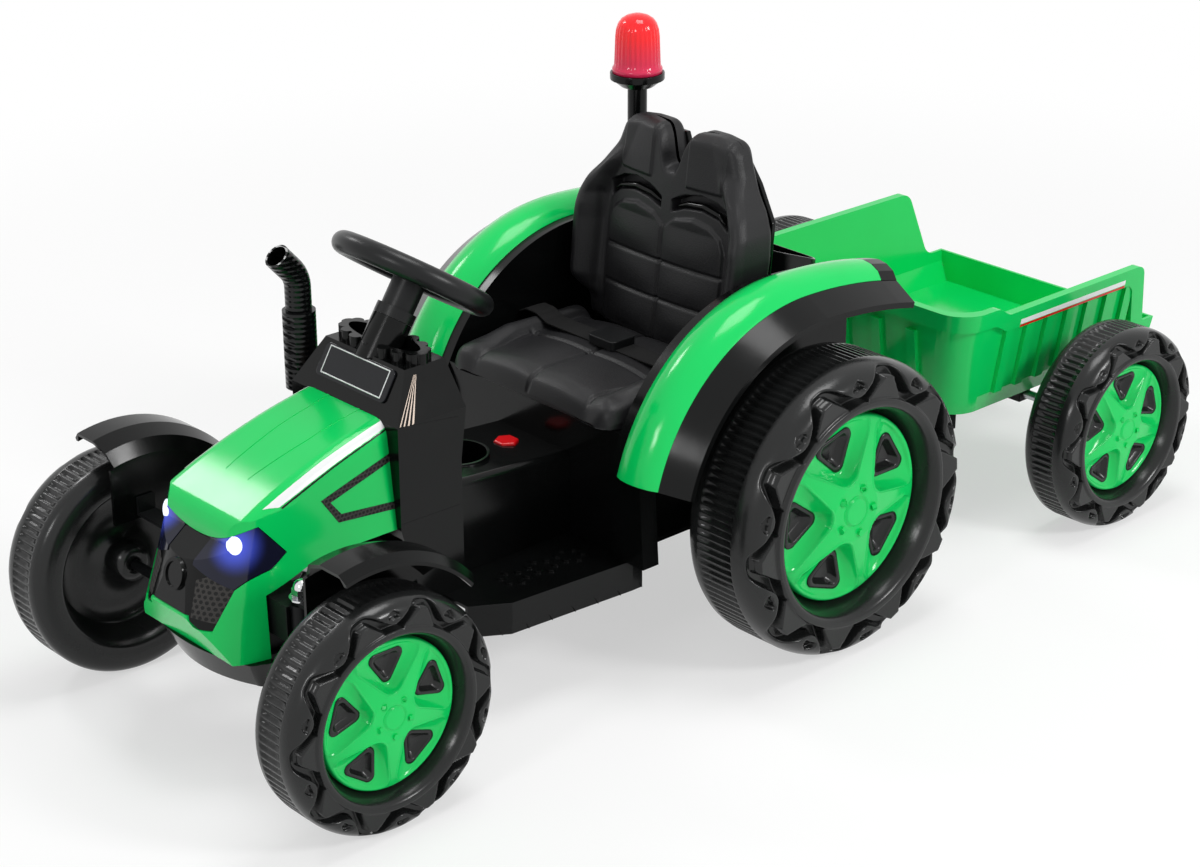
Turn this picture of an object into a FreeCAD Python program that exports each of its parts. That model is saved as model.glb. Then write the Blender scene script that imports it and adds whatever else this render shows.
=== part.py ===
import FreeCAD, Part
import math
import os

os.makedirs("parts", exist_ok=True)
V = FreeCAD.Vector

# A child's ride-on tractor with a towed trailer. The frame has Z up and X to
# the tractor's left; the tractor faces -Y. The origin is on the floor under
# the middle of the whole train. All lengths are in millimetres.

# Wheels and their places
front_tyre_radius = 132
front_tyre_width = 74
front_wheel_face = 277
rear_tyre_radius = 179
rear_tyre_width = 114
rear_wheel_face = 329
trailer_wheel_face = 324
wheelbase = 634
trailer_wheelbase = 513
trailer_tail = 218

# Fits shared by all pieces
cut_overrun = 20
running_clearance = 0.06
moving_clearance = 0.4
moulded_wall = 3.5

# Moulded wheel: section points run inwards by shares of the width and
# outwards by shares of the tyre radius
tread_rib_height = 2.5
lug_count = 10
spoke_count = 5
window_gap = 0.6
hub_front_share = 0.26
hub_back_share = 0.92
hub_radius_share = 0.15
outer_dish_shares = ((0.34, 0.15), (0.34, 0.655), (0.03, 0.72), (0.0, 0.735), (0.0, 0.765))
outer_shoulder_shares = ((0.12, 0.785), (0.15, 0.955), (0.20, 1.0), (0.25, 1.0))
inner_shoulder_shares = ((0.78, 1.0), (0.84, 1.0), (0.96, 0.95), (1.0, 0.88), (1.0, 0.74))
inner_dish_shares = ((0.80, 0.68), (0.52, 0.62), (0.46, 0.42), (0.46, 0.15))
tread_wall_share = 0.05
cavity_width_shares = (0.22, 0.80, 0.92)
cavity_radius_shares = (0.715, 0.80)
lug_foot_share = 0.17
lug_edge_shares = ((0.0, 0.70), (0.0, 0.91), (0.11, 1.0), (0.24, 1.0), (0.24, 0.70))
petal_shares = ((0.21, 1.05), (0.19, 0.975), (0.115, 0.875))
petal_tip_share = 0.832
wedge_shares = ((0.030, 0.955), (0.058, 0.925), (0.145, 0.77))
window_shares = ((0.178, 0.530), (0.0, 0.262))
window_corner_share = 0.045
window_depth_share = 0.29
funnel_shares = ((0.48, 0.65), (0.0, 0.20))
funnel_corner_share = 0.10
funnel_top_share = 0.09
funnel_wall_share = 0.024
insert_top_share = 0.235
insert_border_share = 0.028
insert_floor_share = 0.30
insert_floor_size_share = 0.45
cap_outer_shares = ((0.34, 0.634), (0.25, 0.634), (0.22, 0.615), (0.215, 0.585), (0.12, 0.24), (0.09, 0.21))
cap_inner_shares = ((0.15, 0.20), (0.18, 0.24), (0.275, 0.575), (0.34, 0.60))

# Axles
stub_axle_radius = 6
rear_axle_radius = 7
axle_end_share = 0.20

# Steel chassis frame
rail_spacing = 60
rail_width = 26
rail_height = 25
rail_wall = 2.5
floor_height = 136
floor_thickness = 4
cross_member_shares = (0.35, 0.56, 0.79)

# Front axle beam, kingpins and steering linkage
kingpin_half_track = 118
kingpin_radius = 7
kingpin_boss_radius = 15
beam_bottom = 166
beam_top = 208
beam_half_depth = 21
beam_wall = 4
upright_thickness = 6
kingpin_nut_height = 10
kingpin_nut_width = 19
nut_washer_radius = 14
nut_washer_thickness = 2
steer_arm_length = 45
steer_arm_width = 18
steer_arm_thickness = 6
steer_arm_height = 148
steer_pin_radius = 4
steer_pin_length = 12
tie_rod_width = 16
tie_rod_thickness = 7
tie_rod_slot_reach = 9.5
crank_slot_reach = 14
crank_tab_width = 28
linkage_clearance = 1.6
steer_ratio = 1.2
fender_strap_width = 22
fender_strap_thickness = 4

# Front mudguards
mudguard_gap = 34
mudguard_wall = 4
mudguard_inner = 178
mudguard_outer = 250
mudguard_shoulder = 32
mudguard_shoulder_drop = 24
mudguard_bend_shares = (0.30, 0.65)
mudguard_lead_angle = 14
mudguard_trail_angle = 50
mudguard_skirt_foot = 204
mudguard_skirt_front = 40
mudguard_lip = 9

# Hood: places are behind the front axle, or ahead of it where named so
hood_rear = 150
hood_top = 355
hood_lip_ahead = 47
hood_lip_height = 286
hood_lip_foot = 262
hood_lip_radius = 26
hood_brow_ahead = 73
hood_brow_height = 242
hood_nose_ahead = 90
hood_nose_height = 187
hood_chin_ahead = 68
hood_chin_height = 142
hood_chin_back_ahead = 28
hood_beam_gap = 3
hood_arch_behind = 45
hood_side_foot = 232
hood_crown_rise = 9
hood_wall = 3
hood_edge_radius = 20
hood_low_level = 120
hood_low_half_width = 100
hood_low_nose_ahead = 120
hood_low_corner_ahead = 64
hood_low_side_ahead = 8
hood_high_level = 380
hood_high_half_width = 71
hood_high_nose_ahead = 20
hood_high_corner_ahead = 13
hood_high_side_behind = 30
hood_corner_radius = 24
hood_corner_share = 0.90
mask_top_mid = 263
mask_corner_x = 78
mask_corner_height = 287
mask_corner_ahead = 22
mask_tip_x = 96
mask_tip_height = 251
mask_tip_behind = 7
mask_waist_x = 72
mask_waist_height = 221
mask_waist_ahead = 37
mask_foot_x = 62
mask_foot_height = 177
mask_tab_x = 33
mask_tab_slope = 5
mask_tab_height = 189
mask_gap = 0.4
grille_recess = 1.5
grille_flange = 6
emblem_radius = 17
emblem_ring = 4
emblem_height = 224
emblem_stand = 4
lens_inner_x = 24
lens_foot_height = 240
lens_thickness = 1.2

# Front bumper
bumper_bottom = 106
bumper_overhang = 5
bumper_inset = 18
bumper_corner_back = 18
bumper_back = 18

# Dash cowl and what stands on it
cowl_half_width = 95
cowl_rear = 236
cowl_foot_front = 178
cowl_knee_front = 162
cowl_knee_height = 190
cowl_shoulder_height = 352
cowl_flare = 8
cowl_top = 404
cowl_top_half_width = 70
cowl_top_front = 181
dash_panel_half_width = 61
dash_panel_thickness = 2.5
dash_panel_corner = 6
dash_panel_shares = (0.30, 0.93)
rim_half_length = 64
rim_half_depth = 21
rim_height = 12
rim_lobe_radius = 8
rim_lobe_count = 16
exhaust_out = 122
exhaust_back = 183
exhaust_foot = 328
exhaust_sleeve_top = 420
exhaust_sleeve_radius = 19
exhaust_pipe_radius = 15
exhaust_bend_height = 447
exhaust_bend_radius = 34
exhaust_bend_angle = 42
exhaust_tip_length = 26
exhaust_wall = 2.5
exhaust_lug_height = 26
exhaust_lug_depth = 16
louvre_count = 7
louvre_height = 5

# Steering wheel and shaft
steer_ring_radius = 83
steer_grip_radius = 12.8
steer_centre_behind = 251
steer_centre_height = 478
steer_tilt = 33.8
steer_hub_radius = 27
steer_hub_half_height = 9
spoke_width = 20
spoke_thickness = 10
neck_radius = 19
neck_collar_radius = 23
neck_collar_height = 12
neck_drop = 54
steer_shaft_radius = 6
crank_thickness = 7
crank_width = 18
crank_pin_length = 22
horn_radius = 17
horn_stand = 3
horn_depth = 5

# Floor pan with its footboards
footboard_front = 207
footboard_nose_half_width = 113
footboard_front_half_width = 135
footboard_corner_behind = 249
footboard_corner_half_width = 161
footboard_half_width = 173
footboard_rear_lead = 200
skirt_foot = 97
skirt_wall = 5
scallop_count = 7
scallop_depth = 13
scallop_relief = 1.5
grip_bump_radius = 5
grip_bump_height = 2
grip_ring_radius = 15
grip_ring_count = 6
grip_rings = 3

# Centre console
console_half_width = 66
console_front_height = 251
console_rear_height = 237
console_edge_radius = 8
cup_behind = 306
cup_radius = 34
cup_rim_height = 249
cup_depth = 74
button_lead = 40
button_across = 30
button_stand = 3
button_depth = 16

# Accelerator pedal, on the right footboard
pedal_out = 118
pedal_width = 44
pedal_hinge_behind = 300
pedal_hinge_height = 7
pedal_barrel_radius = 5
pedal_pin_radius = 2.5
pedal_length = 62
pedal_rise = 20
pedal_thickness = 6
pedal_ear_width = 6
pedal_rib_shares = (0.35, 0.6, 0.85)

# Seat box: leads and tails are ahead of the rear axle and behind it
seat_box_lead = 215
seat_box_tail = 131
seat_box_half_width = 151
seat_box_top = 286

# Seat cushion
cushion_front_lead = 228
cushion_half_width = 150
cushion_edge_height = 310
cushion_crown_height = 318
bolster_crown_height = 327
bolster_width = 36
cushion_nose = 16
cushion_seam_shares = (0.38, 0.66)
seam_depth = 3
seam_width = 3
seat_gap = 0.3

# Seat back
back_foot = 300
back_top = 565
back_face_lead = 12
back_recline = 30
back_thickness = 34
back_wing = 38
back_wing_width = 34
back_crown = 9
back_seam_shares = (0.2, 0.4)
back_foot_half_width = 128
back_half_width = 143
back_waist_height = 471
back_neck_height = 512
back_neck_half_width = 116
hump_half_width = 93
hump_inner = 20
notch_height = 520
shell_thickness = 6
shell_foot_depth = 30
shell_rib_shares = (-0.6, -0.2, 0.2, 0.6)

# Lap belt
strap_width = 30
strap_thickness = 2.2
buckle_length = 46
buckle_width = 38
buckle_height = 12
buckle_lead = 89
strap_bend = 10

# Rear basket
basket_front_tail = 68
basket_rear_tail = 166
basket_half_width = 104
basket_front_height = 425
basket_rear_height = 388
basket_corner_radius = 28
basket_grip_half_width = 42
basket_grip_height = 22
basket_grip_drop = 16

# Beacon
beacon_out = 127
beacon_tail = 70
mast_radius = 12
mast_foot_radius = 19
mast_foot_height = 8
mast_top = 577
beacon_base_radius = 31
beacon_base_height = 18
beacon_neck_radius = 20
beacon_lens_radius = 31
beacon_lens_tip_radius = 24
beacon_top = 667
beacon_dome = 12
beacon_wall = 2.5

# Rear fenders: radii are from the rear axle
fender_band_radius = 240
fender_wall = 4
fender_band_outer = 230
fender_valence_outer = 264
fender_valence_radius = 222
fender_lip = 7
fender_front_angle = 74
fender_tail_behind = 152
fender_tail_block = 26
fender_tail_radius = 640
fender_inner_foot = 250
cover_inner = 165
cover_outer = 231
cover_rise = 17
cover_arch_shares = ((0, 0), (0.12, 0.55), (0.3, 0.88), (0.5, 1), (0.7, 0.88), (0.88, 0.55), (1, 0))
cover_wall = 3
strut_outer = 200
strut_depth = 24

# Drive, battery and controls
gearbox_radius = 44
gearbox_width = 34
gearbox_gap = 3
motor_radius = 19
motor_length = 58
motor_offset = 40
battery_length = 151
battery_width = 66
battery_height = 95
battery_lead = 134
control_length = 90
control_width = 60
control_height = 28
control_tail = 56

# Trailer hitch
hitch_tail = 166
hitch_pin_radius = 6
hitch_plate_thickness = 5
hitch_plate_half_width = 24
hitch_gap = 2
hitch_pin_head_radius = 12
hitch_pin_head_height = 8
hitch_pin_tail = 14

# Trailer
drawbar_width = 26
drawbar_height = 28
trailer_floor_height = 150
trailer_axle_radius = 6
tub_front_lead = 202
tub_half_width = 206
tub_floor_half_width = 172
tub_band_height = 27
tub_band_out = 13
tub_front_lean = 30
tub_gate_lean = 5
tub_corner = 42
tub_wall = 4
tub_front_top = 304
tub_side_top = 290
tub_gate_top = 196
tub_step_back = 59
tub_step_run = 24
tub_peak_before_rear = 62
tub_rear_slope = 26
tub_bend_radius = 18
tub_rim_height = 24
tub_rim_out = 8
tub_rib_out = 6
tub_rib_width = 15
tub_rib_count = 7
tub_front_rib_count = 5
trailer_cross_half_width = 150
trailer_cross_width = 22

# Places worked out from the sizes above
overall_length = front_tyre_radius + wheelbase + trailer_wheelbase + trailer_tail
front_axle_y = front_tyre_radius - overall_length / 2
rear_axle_y = front_axle_y + wheelbase
trailer_axle_y = rear_axle_y + trailer_wheelbase
train_rear_y = trailer_axle_y + trailer_tail
seat_box_front = wheelbase - seat_box_lead
seat_box_rear = wheelbase + seat_box_tail
footboard_rear = wheelbase - footboard_rear_lead
button_behind = seat_box_front - button_lead
back_front_foot = wheelbase - back_face_lead
cushion_front = wheelbase - cushion_front_lead
cushion_rear = back_front_foot - back_crown - seat_gap
buckle_behind = wheelbase - buckle_lead
basket_front = wheelbase + basket_front_tail
basket_rear = wheelbase + basket_rear_tail
beacon_behind = wheelbase + beacon_tail
battery_behind = wheelbase - battery_lead
control_behind = wheelbase + control_tail
hitch_behind = wheelbase + hitch_tail
tub_front_behind = wheelbase + trailer_wheelbase - tub_front_lead


def y_behind(distance):
    return front_axle_y + distance


def y_ahead(distance):
    return front_axle_y - distance


# Shape helpers

def closed_wire(points):
    return Part.makePolygon(list(points) + [points[0]])


def rounded_wire(points, radius):
    edges = []
    count = len(points)
    for index in range(count):
        corner = points[index]
        back = points[index - 1] - corner
        ahead = points[(index + 1) % count] - corner
        half_angle = back.getAngle(ahead) / 2
        middle = (V(back).normalize() + V(ahead).normalize()).normalize()
        reach = radius / math.tan(half_angle)
        first = corner + V(back).normalize() * reach
        last = corner + V(ahead).normalize() * reach
        crest = corner + middle * (radius / math.sin(half_angle) - radius)
        edges.append((first, crest, last))
    lines = []
    for index in range(count):
        first, crest, last = edges[index]
        following = edges[(index + 1) % count][0]
        lines.append(Part.Arc(first, crest, last).toShape())
        lines.append(Part.makeLine(last, following))
    return Part.Wire(lines)


def outline(points, radius):
    if radius:
        return Part.Face(rounded_wire(points, radius))
    return Part.Face(closed_wire(points))


def span_x(points_yz, low, high, radius=0):
    face = outline([V(low, y, z) for y, z in points_yz], radius)
    return face.extrude(V(high - low, 0, 0))


def span_y(points_xz, low, high, radius=0):
    face = outline([V(x, low, z) for x, z in points_xz], radius)
    return face.extrude(V(0, high - low, 0))


def span_z(points_xy, low, high, radius=0):
    face = outline([V(x, y, low) for x, y in points_xy], radius)
    return face.extrude(V(0, 0, high - low))


def block(x_low, x_high, y_low, y_high, z_low, z_high):
    return Part.makeBox(x_high - x_low, y_high - y_low, z_high - z_low, V(x_low, y_low, z_low))


def rectangle(half_width, low, high):
    return [(-half_width, low), (half_width, low), (half_width, high), (-half_width, high)]


def turned_x(section, y, z, start=0, sweep=360):
    face = Part.Face(closed_wire([V(x, y, z + radius) for x, radius in section]))
    face.rotate(V(0, y, z), V(1, 0, 0), start)
    return face.revolve(V(0, y, z), V(1, 0, 0), sweep)


def turned_z(section, x, y):
    face = Part.Face(closed_wire([V(x + radius, y, z) for radius, z in section]))
    return face.revolve(V(x, y, 0), V(0, 0, 1), 360)


def mirrored(shape):
    return shape.mirror(V(0, 0, 0), V(1, 0, 0))


def joined(shapes):
    return shapes[0].multiFuse(shapes[1:]).removeSplitter()


def both_sides(points):
    return list(points) + [(-x, z) for x, z in reversed(points)]


def round_x(count, shape):
    copies = []
    for index in range(count):
        copy = shape.copy()
        copy.rotate(V(0, 0, 0), V(1, 0, 0), index * 360 / count)
        copies.append(copy)
    return copies


def save(name, shape):
    shape.exportStep("parts/" + name + ".step")


# Wheels: the outer face lies in X = 0 and the body runs to -X

def section_points(shares, width, radius):
    return [(-across * width, up * radius) for across, up in shares]


def lug_prism(points, width, radius, front):
    foot = -lug_foot_share * width
    face = outline([V(foot, side * radius, up * radius) for side, up in points], 0)
    return face.extrude(V(front - foot, 0, 0))


def triangle_wire(shares, corner_share, radius, growth, x):
    (half_base, base), (point, apex) = shares
    grow = growth / radius
    corners = ((half_base + grow, base + grow), (point, apex - 2 * grow), (-half_base - grow, base + grow))
    corner = corner_share * radius + growth / 2
    return rounded_wire([V(x, side * radius, up * radius) for side, up in corners], corner)


def window_wire(radius, growth, x):
    return triangle_wire(window_shares, window_corner_share, radius, growth, x)


def window_prism(radius, growth, back, front):
    return Part.Face(window_wire(radius, growth, back)).extrude(V(front - back, 0, 0))


def funnel(radius, width, growth):
    # The dished way from the cap's dome down to a window
    rim = triangle_wire(funnel_shares, funnel_corner_share, radius, growth, -funnel_top_share * width)
    foot = window_wire(radius, growth, -window_depth_share * width)
    return Part.makeLoft([rim, foot], True, True)


def tyre(radius, width, axle_radius):
    bore = axle_radius + running_clearance
    band = [(-share * width, radius - tread_rib_height) for share in (outer_shoulder_shares[-1][0],
                                                                      inner_shoulder_shares[0][0])]
    section = [(-hub_front_share * width, bore), (-hub_front_share * width, hub_radius_share * radius)]
    section += section_points(outer_dish_shares + outer_shoulder_shares, width, radius)
    section += band
    section += section_points(inner_shoulder_shares + inner_dish_shares, width, radius)
    section += [(-hub_back_share * width, hub_radius_share * radius), (-hub_back_share * width, bore)]
    body = turned_x(section, 0, 0)
    near, bend, far = cavity_width_shares
    foot, shoulder = cavity_radius_shares
    roof = radius - tread_rib_height - tread_wall_share * radius
    cavity = turned_x([(-near * width, foot * radius), (-near * width, roof), (-far * width, roof),
                       (-far * width, shoulder * radius), (-bend * width, foot * radius)], 0, 0)
    edge = turned_x(section_points(lug_edge_shares, width, radius), 0, 0)
    flanks = list(petal_shares) + [(0, petal_tip_share)]
    petal = lug_prism(flanks + [(-side, up) for side, up in reversed(petal_shares)], width, radius, 0)
    wedge = lug_prism(both_sides(wedge_shares), width, radius, 0)
    wedge.rotate(V(0, 0, 0), V(1, 0, 0), 180 / lug_count)
    lugs = [lug.common(edge) for lug in round_x(lug_count, petal) + round_x(lug_count, wedge)]
    floor = -outer_dish_shares[0][0] * width
    top = -insert_top_share * width
    insert = window_prism(radius, -window_gap, floor, top)
    dimple_wires = [window_wire(radius, -window_gap - insert_border_share * radius, top),
                    window_wire(radius * insert_floor_size_share, 0, -insert_floor_share * width)]
    low = dimple_wires[1].BoundBox
    high = dimple_wires[0].BoundBox
    dimple_wires[1].translate(V(0, 0, high.Center.z - low.Center.z))
    insert = insert.cut(Part.makeLoft(dimple_wires, True, True))
    whole = body.multiFuse(lugs + round_x(spoke_count, insert))
    return whole.cut(cavity)


def wheel_cap(radius, width):
    outer = section_points(cap_outer_shares, width, radius)
    inner = section_points(cap_inner_shares, width, radius)
    floor = outer[0][0]
    dome = turned_x(outer + [(outer[-1][0], 0), (inner[0][0], 0)] + inner, 0, 0)
    below_dome = turned_x(outer + [(outer[-1][0], 0), (floor, 0)], 0, 0)
    funnel_wall = funnel(radius, width, funnel_wall_share * radius).common(below_dome)
    hollow = funnel(radius, width, 0).fuse(window_prism(radius, 0, floor - cut_overrun, 0))
    cap = dome.multiFuse(round_x(spoke_count, funnel_wall))
    return cap.cut(Part.makeCompound(round_x(spoke_count, hollow)))


def save_wheel(name, tyre_shape, cap_shape, face_x, axle_y, axle_z, turn):
    for piece, shape in (("tyre", tyre_shape), ("cap", cap_shape)):
        placed = shape.copy()
        placed.rotate(V(0, 0, 0), V(1, 0, 0), turn)
        placed.translate(V(face_x, axle_y, axle_z))
        save(name + "_" + piece + "_left", placed)
        save(name + "_" + piece + "_right", mirrored(placed))


def axle_rod(face_x, width, axle_radius, y, z, growth=0):
    end = face_x - axle_end_share * width
    return Part.makeCylinder(axle_radius + growth, 2 * end, V(-end, y, z), V(1, 0, 0))


# Steel frame, front axle and steering linkage

def chassis_frame():
    top = floor_height - floor_thickness
    bottom = top - rail_height
    low = y_ahead(hood_chin_back_ahead)
    high = y_behind(seat_box_rear)
    half = rail_width / 2
    inside = half - rail_wall
    bars = []
    hollows = []
    for side in (-1, 1):
        x = side * rail_spacing
        bars.append(block(x - half, x + half, low, high, bottom, top))
        hollows.append(block(x - inside, x + inside, low - cut_overrun, high + cut_overrun,
                             bottom + rail_wall, top - rail_wall))
    reach = rail_spacing - half
    for share in cross_member_shares:
        y = low + (high - low) * share
        bars.append(block(-rail_spacing, rail_spacing, y - half, y + half, bottom, top))
        hollows.append(block(-reach, reach, y - inside, y + inside, bottom - cut_overrun, top - rail_wall))
    return joined(bars).cut(Part.makeCompound(hollows))


def front_axle_beam():
    low = front_axle_y - beam_half_depth
    high = front_axle_y + beam_half_depth
    body = block(-kingpin_half_track, kingpin_half_track, low, high, beam_bottom, beam_top)
    body = body.cut(block(-kingpin_half_track, kingpin_half_track, low + beam_wall, high - beam_wall,
                          beam_bottom - cut_overrun, beam_top - beam_wall))
    pieces = [body]
    for side in (-1, 1):
        x = side * kingpin_half_track
        pieces.append(Part.makeCylinder(kingpin_boss_radius, beam_top - beam_bottom,
                                        V(x, front_axle_y, beam_bottom)))
        foot = side * rail_spacing
        pieces.append(block(foot - upright_thickness, foot + upright_thickness, low, high,
                            floor_height - floor_thickness, beam_top - beam_wall))
    beam = joined(pieces)
    for side in (-1, 1):
        x = side * kingpin_half_track
        beam = beam.cut(Part.makeCylinder(kingpin_radius + running_clearance, beam_top,
                                          V(x, front_axle_y, beam_bottom - cut_overrun)))
    return beam


def kingpin_nut():
    low = beam_top + moving_clearance + fender_strap_thickness
    x = kingpin_half_track
    washer = Part.makeCylinder(nut_washer_radius, nut_washer_thickness, V(x, front_axle_y, low))
    across = kingpin_nut_width / math.sqrt(3)
    corners = [(x + across * math.cos(math.radians(turn)),
                front_axle_y + across * math.sin(math.radians(turn)))
               for turn in range(0, 360, 60)]
    top = low + nut_washer_thickness + kingpin_nut_height
    body = span_z(corners, low, top)
    dome = Part.makeSphere(kingpin_nut_width / 2 - running_clearance, V(x, front_axle_y, top))
    bore = Part.makeCylinder(kingpin_radius + running_clearance, kingpin_nut_height, V(x, front_axle_y, low))
    return joined([washer, body, dome]).cut(bore)


def knuckle():
    x = kingpin_half_track
    end = front_wheel_face - axle_end_share * front_tyre_width
    stub = Part.makeCylinder(stub_axle_radius, end - x, V(x, front_axle_y, front_tyre_radius), V(1, 0, 0))
    pin_top = beam_top + moving_clearance + fender_strap_thickness + kingpin_nut_height / 2
    pin_foot = front_tyre_radius - stub_axle_radius
    pin = Part.makeCylinder(kingpin_radius, pin_top - pin_foot, V(x, front_axle_y, pin_foot))
    shoulder = Part.makeCylinder(kingpin_boss_radius, beam_bottom - moving_clearance - steer_arm_height,
                                 V(x, front_axle_y, steer_arm_height))
    arm_points = [(x - steer_arm_width / 2, front_axle_y), (x + steer_arm_width / 2, front_axle_y),
                  (x + steer_arm_width / 2, front_axle_y + steer_arm_length + steer_arm_width / 2),
                  (x - steer_arm_width / 2, front_axle_y + steer_arm_length + steer_arm_width / 2)]
    arm = span_z(arm_points, steer_arm_height, steer_arm_height + steer_arm_thickness, steer_arm_width / 4)
    link_pin = Part.makeCylinder(steer_pin_radius, steer_arm_thickness + steer_pin_length,
                                 V(x, front_axle_y + steer_arm_length, steer_arm_height))
    strap_low = beam_top + moving_clearance
    strap_end = mudguard_inner
    strap_half = fender_strap_width / 2
    strap = block(x, strap_end, front_axle_y - strap_half, front_axle_y + strap_half,
                  strap_low, strap_low + fender_strap_thickness)
    eye = Part.makeCylinder(strap_half, fender_strap_thickness, V(x, front_axle_y, strap_low))
    tab = block(strap_end - fender_strap_thickness, strap_end, front_axle_y - strap_half,
                front_axle_y + strap_half, strap_low, strap_low + fender_strap_width)
    return joined([stub, pin, shoulder, arm, link_pin, strap, eye, tab])


def tie_rod_levels():
    low = steer_arm_height + steer_arm_thickness + moving_clearance
    return low, low + tie_rod_thickness


def crank_pin_y(z):
    # Where the crank pin, parallel to the steering shaft, passes the level z
    tilt = math.radians(steer_tilt)
    drop = steer_centre_height - z - crank_length() * math.sin(tilt)
    return y_behind(steer_centre_behind) - drop * math.tan(tilt) + crank_length() * math.cos(tilt)


def crank_length():
    return steer_arm_length / steer_ratio


def tie_rod():
    low, high = tie_rod_levels()
    middle = front_axle_y + steer_arm_length
    half = tie_rod_width / 2
    bar = block(-kingpin_half_track, kingpin_half_track, middle - half, middle + half, low, high)
    pieces = [bar]
    slots = []
    slot_half = steer_pin_radius + linkage_clearance
    for side in (-1, 1):
        x = side * kingpin_half_track
        eye = [(x - tie_rod_width, middle - tie_rod_width), (x + tie_rod_width, middle - tie_rod_width),
               (x + tie_rod_width, middle + tie_rod_width), (x - tie_rod_width, middle + tie_rod_width)]
        pieces.append(span_z(eye, low, high, half))
        slots.append(block(x - slot_half, x + slot_half, middle - tie_rod_slot_reach,
                           middle + tie_rod_slot_reach, low - cut_overrun, high + cut_overrun))
    pin_y = crank_pin_y((low + high) / 2)
    tab_rear = pin_y + crank_slot_reach + half
    pieces.append(span_z(rectangle(crank_tab_width / 2, middle, tab_rear), low, high))
    slots.append(block(-slot_half, slot_half, pin_y - crank_slot_reach, pin_y + crank_slot_reach,
                       low - cut_overrun, high + cut_overrun))
    return joined(pieces).cut(Part.makeCompound(slots))


def front_mudguard():
    inner = front_tyre_radius + mudguard_gap
    outer = inner + mudguard_wall
    across, up = mudguard_bend_shares
    crest_x = mudguard_inner + mudguard_shoulder
    bend_x = mudguard_inner + across * mudguard_shoulder
    foot = outer - mudguard_shoulder_drop
    bend = foot + up * mudguard_shoulder_drop
    wall_x = mudguard_inner + mudguard_wall
    lip_x = mudguard_outer - mudguard_wall
    section = [(mudguard_inner, foot - mudguard_wall), (mudguard_inner, foot), (bend_x, bend),
               (crest_x, outer),
               (mudguard_outer - mudguard_lip, outer), (mudguard_outer, outer - mudguard_lip),
               (mudguard_outer, inner - mudguard_lip), (lip_x, inner - mudguard_lip),
               (lip_x - mudguard_wall, inner), (crest_x, inner),
               (bend_x + mudguard_wall / 2, bend - mudguard_wall),
               (wall_x, foot - mudguard_wall / 2), (wall_x, foot - mudguard_wall)]
    sweep = mudguard_lead_angle + mudguard_trail_angle
    band = turned_x(section, front_axle_y, front_tyre_radius, -mudguard_trail_angle, sweep)
    disc = Part.makeCylinder(foot - mudguard_wall / 2, mudguard_wall,
                             V(mudguard_inner, front_axle_y, front_tyre_radius), V(1, 0, 0))
    rear = outer * math.sin(math.radians(mudguard_trail_angle))
    foot_z = mudguard_skirt_foot
    trail_z = front_tyre_radius + outer * math.cos(math.radians(mudguard_trail_angle))
    skirt_area = span_x([(front_axle_y - mudguard_skirt_front, foot_z),
                         (front_axle_y + mudguard_skirt_front, foot_z),
                         (front_axle_y + rear, trail_z - mudguard_lip),
                         (front_axle_y + rear, front_tyre_radius + outer),
                         (front_axle_y - mudguard_skirt_front, front_tyre_radius + outer)],
                        mudguard_inner, mudguard_inner + mudguard_wall)
    return joined([band, disc.common(skirt_area)])


# Hood, grille, lamps and bumper

def tangent_arc(start, end, z):
    # An arc that leaves start along -Y and ends at end, both (x, y)
    run_x = end[0] - start[0]
    run_y = end[1] - start[1]
    chord = math.hypot(run_x, run_y)
    turn = math.atan2(abs(run_x), -run_y)
    rise = chord / 2 * math.tan(turn / 2)
    side = math.copysign(1, start[0])
    middle_x = (start[0] + end[0]) / 2 + side * rise * -run_y / chord
    middle_y = (start[1] + end[1]) / 2 - rise * abs(run_x) / chord
    return Part.Arc(V(start[0], start[1], z), V(middle_x, middle_y, z), V(end[0], end[1], z)).toShape()


def nose_plan(half_width, nose_y, corner_y, side_y, rear_y, z):
    corner_x = hood_corner_share * half_width
    left = tangent_arc((half_width, side_y), (corner_x, corner_y), z)
    right = tangent_arc((-half_width, side_y), (-corner_x, corner_y), z)
    nose = Part.Arc(V(corner_x, corner_y, z), V(0, nose_y, z), V(-corner_x, corner_y, z)).toShape()
    back = [V(-half_width, side_y, z), V(-half_width, rear_y, z), V(half_width, rear_y, z),
            V(half_width, side_y, z)]
    return Part.Wire([left, nose, right] + [Part.makeLine(a, b) for a, b in zip(back, back[1:])])


def hood_body(inset, rear_y):
    low = nose_plan(hood_low_half_width - inset, y_ahead(hood_low_nose_ahead - inset),
                    y_ahead(hood_low_corner_ahead - inset), y_ahead(hood_low_side_ahead), rear_y,
                    hood_low_level)
    high = nose_plan(hood_high_half_width - inset, y_ahead(hood_high_nose_ahead - inset),
                     y_ahead(hood_high_corner_ahead - inset), y_behind(hood_high_side_behind), rear_y,
                     hood_high_level)
    body = Part.makeLoft([low, high], True, True)
    tall = hood_high_level - hood_low_level - cut_overrun
    corners = [edge for edge in body.Edges if edge.BoundBox.ZLength > tall
               and edge.BoundBox.YMin < y_ahead(hood_high_nose_ahead)]
    return body.makeFillet(hood_corner_radius - inset, corners)


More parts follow.
